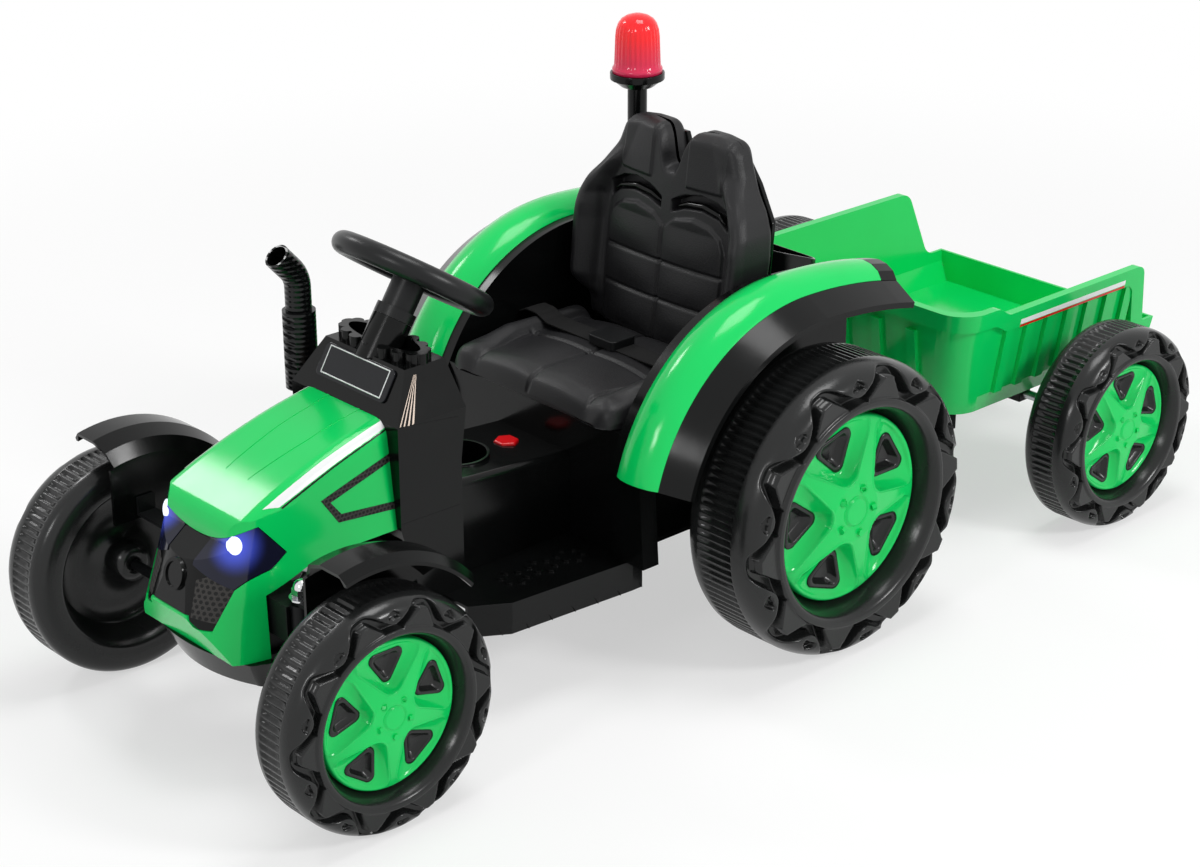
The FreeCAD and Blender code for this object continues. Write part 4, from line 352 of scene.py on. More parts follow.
def join(name, pieces):
    bpy.ops.object.select_all(action="DESELECT")
    for piece in pieces:
        piece.select_set(True)
    bpy.context.view_layer.objects.active = pieces[0]
    bpy.ops.object.join()
    pieces[0].name = name
    return pieces[0]


def turned_copy(piece, turn):
    # A copy with its own mesh, turned about the axle
    bpy.ops.object.select_all(action="DESELECT")
    piece.select_set(True)
    bpy.context.view_layer.objects.active = piece
    bpy.ops.object.duplicate()
    copy = bpy.context.object
    copy.data.transform(Matrix.Rotation(turn, 4, "X"))
    return copy


# Wheel caps: glossy green discs that snap over the black shell.
# Five funnels lead down to the windows, between Y-shaped spokes, and five small
# hexagon bolt heads stand round a flat hub disc, all in the one moulding.

green_gloss = moulded("green_abs", "#0AD364", "#08CC5E", rough=0.15, grain_mm=9.0, depth_mm=0.03,
                      specular=0.3)
funnel_shares = (0.46, 0.625, 0.165)
funnel_corner_share = 0.11
cap_dome_shares = ((0.0, 0.20, 0.25, 0.585, 0.612), (0.10, 0.10, 0.115, 0.205, 0.213))
cap_radius_shares = np.append(np.linspace(0.0, 0.60, 82), (0.612, 0.622, 0.629, 0.634, 0.634))
cap_depth_shares = np.interp(cap_radius_shares, *cap_dome_shares)
cap_depth_shares[-4:] = (0.218, 0.228, 0.25, 0.34)
cap_rim_share = 0.600
cap_points = 420
well_depth_share = 0.262
hole_depth_share = 0.11
hole_lip_share = 0.0084
ridge_half_share = 0.012
ridge_tall_share = 0.016
hub_radius_share = 0.092
hub_tall_share = 0.014
hub_edge_share = 0.008
groove_radius_share = 0.102
groove_half_share = 0.008
groove_edge_share = 0.006
groove_depth_share = 0.012
bolt_place_share = 0.160
bolt_size_share = 0.026
bolt_top_share = 0.070
bolt_tall_share = 0.05
bolt_rim_share = 0.007
socket_slope_share = 0.001
socket_depth_share = 0.4
hair_share = 0.0001


def triangle_distance(side, up, half_base, base, apex, corner):
    # Signed distance to a round-cornered triangle, negative inside
    shrunk = [centre for centre, inward, opening in triangle_corners(half_base, base, apex, corner)]
    middle = np.mean(shrunk, 0)
    nearest = np.full_like(side, np.inf)
    inside = np.ones(side.shape, bool)
    for a, b in zip(shrunk, shrunk[1:] + shrunk[:1]):
        run = b - a
        share = np.clip(((side - a[0]) * run[0] + (up - a[1]) * run[1]) / (run @ run), 0, 1)
        nearest = np.minimum(nearest, np.hypot(side - a[0] - run[0] * share, up - a[1] - run[1] * share))
        cross = run[0] * (up - a[1]) - run[1] * (side - a[0])
        inside &= cross * (run[0] * (middle[1] - a[1]) - run[1] * (middle[0] - a[0])) >= 0
    return np.where(inside, -nearest, nearest) - corner


def cap_bolt(radius, width, turn):
    # A hexagon head with a socket in its outer end
    out = bolt_place_share * radius
    tall = bolt_tall_share * width
    middle = (-bolt_top_share * width - tall / 2, out * math.sin(turn), out * math.cos(turn))
    bpy.ops.object.select_all(action="DESELECT")
    bpy.ops.mesh.primitive_cylinder_add(vertices=6, radius=bolt_size_share * radius, depth=tall,
                                        location=middle, rotation=(turn, math.pi / 2, 0))
    bolt = bpy.context.object
    bpy.ops.object.mode_set(mode="EDIT")
    bpy.ops.mesh.select_all(action="DESELECT")
    bpy.ops.object.mode_set(mode="OBJECT")
    for face in bolt.data.polygons:
        face.select = len(face.vertices) == 6 and face.normal.z > 0.5
    bpy.ops.object.mode_set(mode="EDIT")
    bpy.ops.mesh.inset(thickness=bolt_rim_share * radius, depth=0.0)
    bpy.ops.mesh.inset(thickness=socket_slope_share * radius, depth=-socket_depth_share * tall)
    bpy.ops.object.mode_set(mode="OBJECT")
    bpy.ops.object.transform_apply(location=True, rotation=True, scale=True)
    return bolt


def wheel_cap(name, radius, width):
    # Funnels and windows pressed into a dome, with the hub and its bolts in the middle
    sector = 2 * math.pi / spoke_count

    def shape(row, turn):
        out = cap_radius_shares[row]
        plain = cap_depth_shares[row]
        lean = (turn + sector / 2) % sector - sector / 2
        side = out * np.sin(lean)
        up = out * np.cos(lean)
        edge = triangle_distance(side, up, *funnel_shares, funnel_corner_share)
        hole = triangle_distance(side, up, *window_shares, window_corner_share)
        rim = np.maximum(-edge, 0)
        inside_rim = step_up(cap_rim_share - out, ridge_half_share * 2)
        fall = np.where(rim > 0, rim / (rim + np.maximum(hole, 0) + hair_share), 0) * inside_rim
        depth = plain + (well_depth_share - plain) * np.sin(fall * math.pi / 2)
        depth -= ridge_tall_share * np.clip(1 - np.abs(edge) / ridge_half_share, 0, 1) * inside_rim
        depth += hole_depth_share * step_up(-hole - hole_lip_share, ridge_half_share)
        depth -= hub_tall_share * step_up(hub_radius_share - out, hub_edge_share)
        in_groove = groove_half_share - np.abs(out - groove_radius_share)
        depth += groove_depth_share * step_up(in_groove, groove_edge_share)
        return np.stack([-depth * width, out * radius * np.sin(turn), out * radius * np.cos(turn)], 1)

    disc = wrapped_grid(name, len(cap_radius_shares), cap_points, shape)
    bolts = [cap_bolt(radius, width, (index + 0.5) * sector) for index in range(spoke_count)]
    return join(name, [disc] + bolts)


both_sides = (("left", 1), ("right", -1))


def node_box(name):
    # The lowest and the highest corner of a CAD node in metres, to a tenth of a millimetre
    spots = np.empty(len(nodes[name].data.vertices) * 3)
    nodes[name].data.vertices.foreach_get("co", spots)
    spots = spots.reshape(-1, 3)
    return np.round(spots.min(0), 4), np.round(spots.max(0), 4)


def shell_with_inserts(name, radius, width, rib_count, insert_turn):
    # The tyre's shell with a pocket behind each window of the cap
    shell = tyre(name, radius, width, rib_count)
    insert = window_insert("insert", radius, width)
    sector = 2 * math.pi / spoke_count
    inserts = [turned_copy(insert, insert_turn - index * sector) for index in range(spoke_count)]
    bpy.data.objects.remove(insert)
    return join(name, [shell] + inserts)


def fit_wheel(place, tyre_piece, cap_piece, tyre_turn, cap_turn):
    # Both wheels of an axle, standing on the floor where the left one's CAD tyre stands
    low, high = node_box(place + "_tyre_left")
    centre = (high[0], (low[1] + high[1]) / 2, high[2] / 2)
    kinds = (("tyre", tyre_piece, tyre_turn, wheel_plastic, "wheel_plastic"),
             ("cap", cap_piece, cap_turn, green_gloss, "green_plastic"))
    for side, mirror in both_sides:
        for kind, piece, turn, finish, slot in kinds:
            copy = turned_copy(piece, turn)
            copy.name = place + "_wheel_" + kind + "_" + side
            copy.data.transform(Matrix.Translation(centre))
            if mirror < 0:
                copy.data.transform(Matrix.Scale(-1, 4, (1, 0, 0)))
                copy.data.flip_normals()
            copy.data.materials.clear()
            copy.data.materials.append(finish)
            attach(copy, place + "_wheel_" + side)
            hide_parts(place + "_" + kind + "_" + side)


small_low, small_high = node_box("front_tyre_left")
small_size = (small_high[2] / 2, small_high[0] - small_low[0])
small_ribs = 90
large_low, large_high = node_box("rear_tyre_left")
large_size = (large_high[2] / 2, large_high[0] - large_low[0])
large_ribs = 120
rear_tyre_turn = math.radians(5)
rear_cap_turn = math.radians(15)
small_tyre = shell_with_inserts("small_tyre", *small_size, small_ribs, 0.0)
small_cap = wheel_cap("small_cap", *small_size)
large_tyre = shell_with_inserts("large_tyre", *large_size, large_ribs, rear_cap_turn - rear_tyre_turn)
large_cap = wheel_cap("large_cap", *large_size)
fit_wheel("front", small_tyre, small_cap, 0.0, 0.0)
fit_wheel("trailer", small_tyre, small_cap, 0.0, 0.0)
fit_wheel("rear", large_tyre, large_cap, rear_tyre_turn, rear_cap_turn)
for pattern in (small_tyre, small_cap, large_tyre, large_cap):
    bpy.data.objects.remove(pattern)

# Floor pan, seat box, console, bumper, cowl, basket, fenders, mudguards and beacon mast.
# Injection-moulded ABS, polished black. What a hand or a foot rests on, such as the
# steering wheel and the pedal, is polypropylene with a fine grain.

black_gloss = moulded("black_abs", "#060707", "#0A0B0B", rough=0.16, grain_mm=8.0, depth_mm=0.03,
                      specular=0.2)
black_grain = moulded("grained_polypropylene", "#0E0F10", "#141516", rough=0.32, grain_mm=0.9, depth_mm=0.12,
                      specular=0.28)

for name in ("floor_pan", "seat_box", "centre_console", "front_bumper", "dash_cowl", "rear_basket",
             "seat_back_shell", "beacon_mast", "beacon_base"):
    dress(name, black_gloss, edge_mm=1.2)
for name in ("rear_fender_left", "rear_fender_right", "front_mudguard_left", "front_mudguard_right"):
    dress(name, black_gloss)
for name in ("steering_wheel", "horn_button", "accelerator_pedal", "belt_buckle"):
    dress(name, black_grain, edge_mm=1.0)

# Exhaust stack.
# A dummy pipe blow moulded in black, with fine rings round it every few millimetres
# that catch the light one by one.


def band_scale(pitch_mm):
    # The scale of a wave texture whose bands are this far apart
    return per_mm(pitch_mm) * math.pi / 10


ringed_plastic, tree, place = new_material("ringed_blow_moulding")
rings = add(tree, "TexWave", {"Vector": place, "Scale": band_scale(6.0), "Distortion": 0.0},
            bands_direction="Z")
relief = add(tree, "Bump", {"Height": rings.outputs["Fac"], "Strength": 0.5, "Distance": 0.0012})
skin = add(tree, "BsdfPrincipled", {"Base Color": linear("#08090A"), "Roughness": 0.2,
                                    "Specular IOR Level": 0.3, "Normal": relief.outputs["Normal"]})
add(tree, "OutputMaterial", {"Surface": skin.outputs["BSDF"]})
dress("exhaust_stack", ringed_plastic, edge_mm=1.2)

# Start button.
# A red ABS key with rounded edges that snaps into the console's top.

red_gloss = moulded("red_abs", "#E0141B", "#CE1017", rough=0.2, grain_mm=6.0, depth_mm=0.04, specular=0.3)
dress("start_button", red_gloss, edge_mm=0.8)

# Hood, fender covers and trailer tub, moulded in the caps' green.
# The hood has two fine creases on top. White and black vinyl stripes and a black mesh insert
# in a V are stuck down on each of its sides, and a white and a red stripe on the tub's.

for name in ("hood", "fender_cover_left", "fender_cover_right", "trailer_tub"):
    dress(name, green_gloss, edge_mm=1.4)

fold_degrees = 40


def thickened(piece, thick_mm):
    # A sheet gets its thickness, half to each side, and smooth faces between its folds
    thick = piece.modifiers.new("thick", "SOLIDIFY")
    thick.thickness = thick_mm / 1000
    thick.offset = 0
    bpy.ops.object.modifier_apply(modifier="thick")
    bpy.ops.object.mode_set(mode="EDIT")
    bpy.ops.mesh.select_all(action="SELECT")
    bpy.ops.mesh.normals_make_consistent(inside=False)
    bpy.ops.object.mode_set(mode="OBJECT")
    bpy.ops.object.shade_smooth_by_angle(angle=math.radians(fold_degrees))


def point_on(edge, run):
    # The point that lies a share of the way along a row of points
    spot = run * (len(edge) - 1)
    first = min(int(spot), len(edge) - 2)
    start = np.array(edge[first])
    return start + (np.array(edge[first + 1]) - start) * (spot - first)


def foil(name, edges, mirror, target, material, body, along, across, lift_mm=0.25, thick_mm=0.3):
    # A thin foil between two edges in millimetres, pressed onto the surface under it
    bpy.ops.object.select_all(action="DESELECT")
    bpy.ops.mesh.primitive_grid_add(x_subdivisions=along, y_subdivisions=across, size=1)
    piece = bpy.context.object
    piece.name = name
    for vertex in piece.data.vertices:
        ends = [point_on(edge, vertex.co.x + 0.5) for edge in edges]
        spot = ends[0] + (ends[1] - ends[0]) * (vertex.co.y + 0.5)
        vertex.co = spot * (mirror, 1, 1) / 1000
    press = piece.modifiers.new("press", "SHRINKWRAP")
    press.target = target
    press.wrap_method = "NEAREST_SURFACEPOINT"
    press.wrap_mode = "ABOVE_SURFACE"
    press.offset = lift_mm / 1000
    bpy.ops.object.modifier_apply(modifier="press")
    thickened(piece, thick_mm)
    piece.data.materials.append(material)
    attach(piece, body)


white_foil = moulded("white_vinyl", "#F4F6F6", "#EFF1F1", rough=0.25, grain_mm=12.0, depth_mm=0.02,
                     specular=0.3)
black_foil = moulded("black_vinyl", "#0A0A0B", "#0D0D0E", rough=0.25, grain_mm=12.0, depth_mm=0.02,
                     specular=0.2)
strand_shares = (0.72, 0.98)


def hexagon_mesh(name, axis, pitch_mm):
    # Black mesh of three crossing families of strands, lying across the given axis
    material, tree, place = new_material(name)
    strands = []
    for lean in (-math.pi / 3, 0.0, math.pi / 3):
        turn = [0.0, 0.0, 0.0]
        turn[axis] = lean
        turned = add(tree, "Mapping", {"Vector": place, "Rotation": turn})
        strand = add(tree, "TexWave", {"Vector": turned.outputs["Vector"], "Scale": band_scale(pitch_mm),
                                       "Distortion": 0.0}, bands_direction="Z")
        strands.append(strand.outputs["Fac"])
    pair = add(tree, "Math", {0: strands[0], 1: strands[1]}, operation="MAXIMUM")
    woven = add(tree, "Math", {0: pair.outputs[0], 1: strands[2]}, operation="MAXIMUM")
    edge = add(tree, "MapRange", {"Value": woven.outputs[0], "From Min": strand_shares[0],
                                  "From Max": strand_shares[1]})
    # Painted light: the cells are painted near black as painted shade in the openings, and the strands a
    # lighter grey as a painted sheen on their raised tops
    shade = add(tree, "Mix", {"Factor": edge.outputs["Result"], 6: linear("#050505"), 7: linear("#3C3A38")},
                data_type="RGBA")
    relief = add(tree, "Bump", {"Height": edge.outputs["Result"], "Strength": 0.8, "Distance": 0.0008})
    skin = add(tree, "BsdfPrincipled", {"Base Color": shade.outputs[2], "Roughness": 0.4,
                                        "Specular IOR Level": 0.25, "Normal": relief.outputs["Normal"]})
    add(tree, "OutputMaterial", {"Surface": skin.outputs["BSDF"]})
    return material


mesh_insert = hexagon_mesh("black_mesh_insert", axis=0, pitch_mm=4.4)
hood_stripe = ([(74.4, -630, 305.0), (70.2, -552, 331.6), (65.7, -443, 362.0)],
               [(82.2, -612, 302.8), (80.0, -541, 327.2), (73.2, -443, 356.0)])
hood_line = ([(83.4, -611, 301.9), (81.3, -541, 326.3), (74.7, -443, 355.0)],
             [(84.2, -609, 300.1), (82.2, -541, 324.3), (76.0, -443, 353.2)])
hood_crease = ([(26, -452, 366.0), (25, -540, 344.0), (20, -612, 318.0)],
               [(29, -452, 366.0), (27.5, -540, 344.0), (20, -612, 318.0)])
hood_mesh = ([(88, -462, 321.0), (90, -560.3, 293.6), (93, -541.0, 263.8), (94, -462, 256.4)],
             [(89, -462, 312.2), (91, -548.6, 288.4), (93, -536.4, 272.2), (94, -462, 265.0)])
tub_wall_x = 209
tub_stripe_run = (436, 650)
tub_stripe_heights = (277, 270)
tub_line_heights = (269, 266)
tub_stripe = [[(tub_wall_x, y, z) for y in tub_stripe_run] for z in tub_stripe_heights]
tub_line = [[(tub_wall_x, y, z) for y in tub_stripe_run] for z in tub_line_heights]
hood = nodes["hood"]
tub = nodes["trailer_tub"]
for side, mirror in both_sides:
    foil("hood_stripe_" + side, hood_stripe, mirror, hood, white_foil, "chassis", along=60, across=8)
    foil("hood_stripe_line_" + side, hood_line, mirror, hood, black_foil, "chassis", along=60, across=2)
    foil("hood_crease_" + side, hood_crease, mirror, hood, green_gloss, "chassis", along=60, across=2,
         lift_mm=0.1, thick_mm=0.9)
    foil("hood_mesh_" + side, hood_mesh, mirror, hood, mesh_insert, "chassis", along=90, across=4,
         lift_mm=0.3)
    foil("tub_stripe_" + side, tub_stripe, mirror, tub, white_foil, "trailer", along=60, across=6)
    foil("tub_line_" + side, tub_line, mirror, tub, red_gloss, "trailer", along=60, across=4)

# Grille behind the hood's front opening.
# Black ABS with a pressed mesh on both sides of a bare centre shield.

dress("grille", black_gloss, edge_mm=1.0)
grille_mesh = hexagon_mesh("black_grille_mesh", axis=1, pitch_mm=5.4)
grille_side = ([(33.2, -693, 227.0), (35.6, -699, 208.0), (37.4, -705, 189.0)],
               [(73.4, -662, 243.0), (73.0, -668, 216.0), (70.8, -681, 183.0)])
for side, mirror in both_sides:
    foil("grille_mesh_" + side, grille_side, mirror, nodes["grille"], grille_mesh, "chassis", along=30,
         across=24, lift_mm=0.3)

# Headlights.
# Dark blue acrylic lenses, each with one bright round lamp near its outer end
# that throws a blue glow into the lens round it.

lamp_place = (0.0631, -0.6601, 0.2669)
lamp_facing = (0.337, -0.910, 0.240)
lamp_places = [(mirror * lamp_place[0], *lamp_place[1:]) for side, mirror in both_sides]
lamp_facings = [(mirror * lamp_facing[0], *lamp_facing[1:]) for side, mirror in both_sides]
lamp_radius = 0.010
lamp_flatness = 0.3
glow_radius = 0.036
blue_lens, tree, place = new_material("blue_acrylic_lens")
glows = []
for spot in lamp_places:
    apart = add(tree, "VectorMath", {0: place, 1: spot}, operation="DISTANCE")
    near = add(tree, "MapRange", {"Value": apart.outputs["Value"], "From Min": glow_radius,
                                  "From Max": lamp_radius}, interpolation_type="SMOOTHSTEP")
    glows.append(near.outputs["Result"])
glow = add(tree, "Math", {0: glows[0], 1: glows[1]}, operation="MAXIMUM")
tint = add(tree, "Mix", {"Factor": glow.outputs[0], 6: linear("#16182B"), 7: linear("#3A49B4")},
           data_type="RGBA")
power = add(tree, "Math", {0: glow.outputs[0], 1: 0.5}, operation="MULTIPLY")
skin = add(tree, "BsdfPrincipled", {"Base Color": tint.outputs[2], "Roughness": 0.08,
                                    "Specular IOR Level": 0.3, "Emission Color": tint.outputs[2],
                                    "Emission Strength": power.outputs[0]})
add(tree, "OutputMaterial", {"Surface": skin.outputs["BSDF"]})
dress("headlight_lenses", blue_lens)

lamp_glass, tree, place = new_material("lit_lamp_glass")
skin = add(tree, "BsdfPrincipled", {"Base Color": linear("#DDE8FF"), "Roughness": 0.1,
                                    "Emission Color": linear("#E8F0FF"), "Emission Strength": 0.9})
add(tree, "OutputMaterial", {"Surface": skin.outputs["BSDF"]})
for (side, mirror), spot, facing in zip(both_sides, lamp_places, lamp_facings):
    bpy.ops.object.select_all(action="DESELECT")
    bpy.ops.mesh.primitive_uv_sphere_add(segments=24, ring_count=12, radius=lamp_radius)
    lamp = bpy.context.object
    lamp.name = "lamp_" + side
    tilt = Vector(facing).to_track_quat("Z", "Y").to_matrix().to_4x4()
    squash = Matrix.Diagonal((1, 1, lamp_flatness, 1))
    lamp.data.transform(Matrix.Translation(spot) @ tilt @ squash)
    bpy.ops.object.shade_smooth()
    lamp.data.materials.append(lamp_glass)
    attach(lamp, "chassis")

# Dash panel, and the lines on the cowl.
# A smoked acrylic plate with a plain white border. Each side of the cowl has two thin
# dark seams between its mouldings and a fan of silver vinyl lines stuck on it.

smoke = moulded("smoke_acrylic", "#15161A", "#1A1B20", rough=0.1, grain_mm=20.0, depth_mm=0.01,
                specular=0.25)
dress("dash_panel", smoke, edge_mm=0.6)
panel_low = (-457.6, 372.0)
panel_high = (-440.2, 399.6)
panel_half = 53.0
panel_slope = 32.0
border_width = 1.4
border_points = 160
border_foil = 0.0003


def border_shape(row, turn):
    # Two rectangles, one inside the other, walked round at an even pace
    pace = turn / (2 * math.pi) * 4
    across = np.interp(pace, (0, 1, 2, 3, 4), (-1, 1, 1, -1, -1))
    up = np.interp(pace, (0, 1, 2, 3, 4), (-1, -1, 1, 1, -1))
    inset = border_width * row
    x = across * (panel_half - inset)
    share = 0.5 + up * (0.5 - inset / panel_slope)
    y = panel_low[0] + (panel_high[0] - panel_low[0]) * share
    z = panel_low[1] + (panel_high[1] - panel_low[1]) * share
    return np.stack([x, y, z], 1) / 1000


border = wrapped_grid("dash_panel_border", 2, border_points, border_shape)
press = border.modifiers.new("press", "SHRINKWRAP")
press.target = nodes["dash_panel"]
press.wrap_mode = "ABOVE_SURFACE"
press.offset = border_foil
bpy.ops.object.modifier_apply(modifier="press")
thick = border.modifiers.new("thick", "SOLIDIFY")
thick.thickness = border_foil
bpy.ops.object.modifier_apply(modifier="thick")
border.data.materials.append(white_foil)
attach(border, "chassis")

cowl = nodes["dash_cowl"]
cowl_seam_x = 99.0
cowl_seam_ends = (-464.0, -384.0)
cowl_seam_heights = (("upper", (352.2, 342.8)), ("lower", (238.8, 237.9)))
cowl_seam_width = 1.1
for side, mirror in both_sides:
    for level, heights in cowl_seam_heights:
        edges = [[(cowl_seam_x, y, z + lift) for y, z in zip(cowl_seam_ends, heights)]
                 for lift in (0.0, cowl_seam_width)]
        foil("cowl_seam_" + level + "_" + side, edges, mirror, cowl, black_foil, "chassis", along=24,
             across=2, lift_mm=0.1)

silver_foil, tree, place = new_material("silver_vinyl")
skin = add(tree, "BsdfPrincipled", {"Base Color": linear("#B9A99C"), "Metallic": 0.6, "Roughness": 0.35})
add(tree, "OutputMaterial", {"Surface": skin.outputs["BSDF"]})
fan_feet = ((-463.5, 1.6), (-458.5, 2.0), (-453.0, 2.4), (-447.5, 2.8))
fan_foot_x = 96.0
fan_foot_step = 1.6
fan_foot_z = 354.0
fan_tip_x = 78.0
fan_tip_y = -426.5
fan_tip_step = 1.1
fan_tip_z = 399.0
fan_tip_width = 0.5
for side, mirror in both_sides:
    for index, (foot_y, width) in enumerate(fan_feet):
        foot_x = fan_foot_x + index * fan_foot_step
        tip_y = fan_tip_y + index * fan_tip_step
        edges = ([(foot_x, foot_y, fan_foot_z), (fan_tip_x, tip_y, fan_tip_z)],
                 [(foot_x, foot_y + width, fan_foot_z), (fan_tip_x, tip_y + fan_tip_width, fan_tip_z)])
        foil("cowl_line_%d_%s" % (index, side), edges, mirror, cowl, silver_foil, "chassis", along=24,
             across=2)

# Seat cushion and back.
# Black leatherette heat-formed over foam: a cushion with two side bolsters, and
# a high back with two humps, side wings and a heart-shaped middle panel.


def loop_shares(face, side, back):
    # Once round a pad's section: across the face, down one side, along the back and up the other side
    fall = np.linspace(0, 1, side + 2)[1:-1]
    edge = np.ones(side)
    across = np.concatenate([np.linspace(-1, 1, face), edge, np.linspace(1, -1, back), -edge])
    deep = np.concatenate([np.zeros(face), fall, np.ones(back), fall[::-1]])
    return across, deep


end_opening_share = 0.55


def pad_rows(count):
    # Rows from one end of a pad to the other, with both ends drawn together
    runs = [0.0, 0.0] + list(np.linspace(0, 1, count)) + [1.0, 1.0]
    opens = [0.0, end_opening_share] + [1.0] * count + [end_opening_share, 0.0]
    return np.array(runs), np.array(opens)


def rolled(distance, radius):
    # How far a rounded edge falls away at a distance from the rim
    inner = radius - np.clip(distance, 0, radius)
    return radius - np.sqrt(radius * radius - inner * inner)


def seam(distance, half):
    # One on the seam's line, easing to nought at half its width
    share = np.clip(1 - np.abs(distance) / half, 0, 1)
    return share * share * (3 - 2 * share)


stuffing_frames = 20
stuffing_quality = 4
stuffing_pressure = 4.0
least_move = 1e-9


def stuffed(piece, swell_mm):
    # Foam presses the cover outwards: a short cloth simulation under pressure, held to a small swell
    count = len(piece.data.vertices)
    start = np.empty(count * 3)
    piece.data.vertices.foreach_get("co", start)
    cloth = piece.modifiers.new("stuffing", "CLOTH")
    cloth.settings.quality = stuffing_quality
    cloth.settings.use_pressure = True
    cloth.settings.uniform_pressure_force = stuffing_pressure
    cloth.settings.effector_weights.gravity = 0.0
    cloth.point_cache.frame_end = stuffing_frames
    for step in range(1, stuffing_frames + 1):
        bpy.context.scene.frame_set(step)
    puffed = piece.evaluated_get(bpy.context.evaluated_depsgraph_get())
    end = np.empty(count * 3)
    puffed.data.vertices.foreach_get("co", end)
    piece.modifiers.remove(cloth)
    bpy.context.scene.frame_set(1)
    move = (end - start).reshape(-1, 3)
    length = np.linalg.norm(move, axis=1, keepdims=True)
    move *= np.minimum(1, swell_mm / 1000 / np.maximum(length, least_move))
    piece.data.vertices.foreach_set("co", (start.reshape(-1, 3) + move).ravel())
    piece.data.update()


def sewn(piece, press):
    # Two subdivisions, then the seams and hollows pressed into the cover
    bpy.ops.object.select_all(action="DESELECT")
    piece.select_set(True)
    bpy.context.view_layer.objects.active = piece
    finer = piece.modifiers.new("finer", "SUBSURF")
    finer.levels = 2
    finer.render_levels = 2
    bpy.ops.object.modifier_apply(modifier="finer")
    spots = np.empty(len(piece.data.vertices) * 3)
    piece.data.vertices.foreach_get("co", spots)
    spots = spots.reshape(-1, 3) * 1000
    piece.data.vertices.foreach_set("co", (press(spots) / 1000).ravel())
    piece.data.update()
    bpy.ops.object.shade_smooth()


# The leatherette's pores are drawn a little coarser than they are, so that they show
leather, tree, place = new_material("black_leatherette")
pores = add(tree, "TexVoronoi", {"Vector": place, "Scale": per_mm(1.7)})
wear = add(tree, "TexNoise", {"Vector": place, "Scale": per_mm(45), "Detail": 4.0})
tint = add(tree, "Mix", {"Factor": wear.outputs["Fac"], 6: linear("#141415"), 7: linear("#1B1B1D")},
           data_type="RGBA")
rough = add(tree, "MapRange", {"Value": wear.outputs["Fac"], "To Min": 0.38, "To Max": 0.52})
relief = add(tree, "Bump", {"Height": pores.outputs["Distance"], "Strength": 0.35, "Distance": 0.0004})
skin = add(tree, "BsdfPrincipled", {"Base Color": tint.outputs[2], "Roughness": rough.outputs["Result"],
                                    "Specular IOR Level": 0.28, "Normal": relief.outputs["Normal"]})
add(tree, "OutputMaterial", {"Surface": skin.outputs["BSDF"]})

cushion_across, cushion_deep = loop_shares(face=66, side=4, back=26)
cushion_runs, cushion_opens = pad_rows(count=46)
cushion_front = -208.0
cushion_rear = -5.5
cushion_half = 147.5
cushion_foot = 287.0
cushion_top = 308.0
cushion_crown = 6.0
bolster_inner = 100.0
bolster_width = 48.0
bolster_fullness = 0.8
bolster_rise = ((0, 80), (2, 14.0))
front_roll = 20.0
side_roll = 13.0
rear_roll = 12.0
rear_roll_share = 0.7
front_corner = 34.0
front_corner_share = 0.6
rear_corner = 20.0
rear_corner_share = 0.5


def cushion_shape(row, turn):
    # The cushion before it is stuffed: crowned, with bolsters at its sides and rolled edges
    step = step_of(turn, len(cushion_across))
    y = cushion_front + cushion_runs[row] * (cushion_rear - cushion_front)
    ahead = y - cushion_front
    behind = cushion_rear - y
    half = cushion_half - front_corner_share * rolled(ahead, front_corner)
    half -= rear_corner_share * rolled(behind, rear_corner)
    x = cushion_across[step] * half
    out = np.abs(x)
    bolster = np.sin(np.clip((out - bolster_inner) / bolster_width, 0, 1) * math.pi) ** bolster_fullness
    top = cushion_top + cushion_crown * np.clip(1 - (x / bolster_inner) ** 2, 0, 1)
    top += bolster * np.interp(ahead, *bolster_rise)
    top -= rolled(ahead, front_roll) + rolled(half - out, side_roll)
    top -= rear_roll_share * rolled(behind, rear_roll)
    middle = (top + cushion_foot) / 2
    z = top + (cushion_foot - top) * cushion_deep[step]
    z = middle + (z - middle) * cushion_opens[row]
    return np.stack([x, y, z], 1) / 1000


seam_half = 5.0
seam_depth = 3.2
side_seam = 104.0
side_seam_share = 0.8
side_seam_start = 12.0
side_seam_bow = 8.0
bow_start = -150.0
bow_fade = 60.0
cross_seam = -106.0
middle_seam_end = 6.5
panel_puff = 2.4
panel_fade = 8.0
end_fade = 6.0
start_fade = 20.0
top_fade_start = 7.0
top_fade = 10.0
cushion_low = (-150.2, -213.0, 286.4)
cushion_high = (150.2, -4.2, 329.0)


def cushion_seams(spots):
    # Seams pressed in, and the panels puffed between them
    x, y, z = spots.T
    out = np.abs(x)
    inside = step_up(side_seam - out, panel_fade)
    puff = panel_puff * np.abs(np.sin(np.clip(out / side_seam, 0, 1) * math.pi)) * inside
    press = seam_depth * seam(x, seam_half) * step_up(cushion_rear - middle_seam_end - y, end_fade)
    press += seam_depth * seam(y - cross_seam, seam_half) * inside
    bowed = out - side_seam + side_seam_bow * step_up(bow_start - y, bow_fade)
    begun = step_up(y - cushion_front - side_seam_start, start_fade)
    press += side_seam_share * seam_depth * seam(bowed, seam_half) * begun
    spots[:, 2] = z + (puff - press) * step_up(z - cushion_foot - top_fade_start, top_fade)
    return np.clip(spots, cushion_low, cushion_high)


cushion = wrapped_grid("seat_cushion_pad", len(cushion_runs), len(cushion_across), cushion_shape)
stuffed(cushion, swell_mm=3.0)
sewn(cushion, cushion_seams)
cushion.data.materials.append(leather)
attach(cushion, "chassis")
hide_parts("seat_cushion")

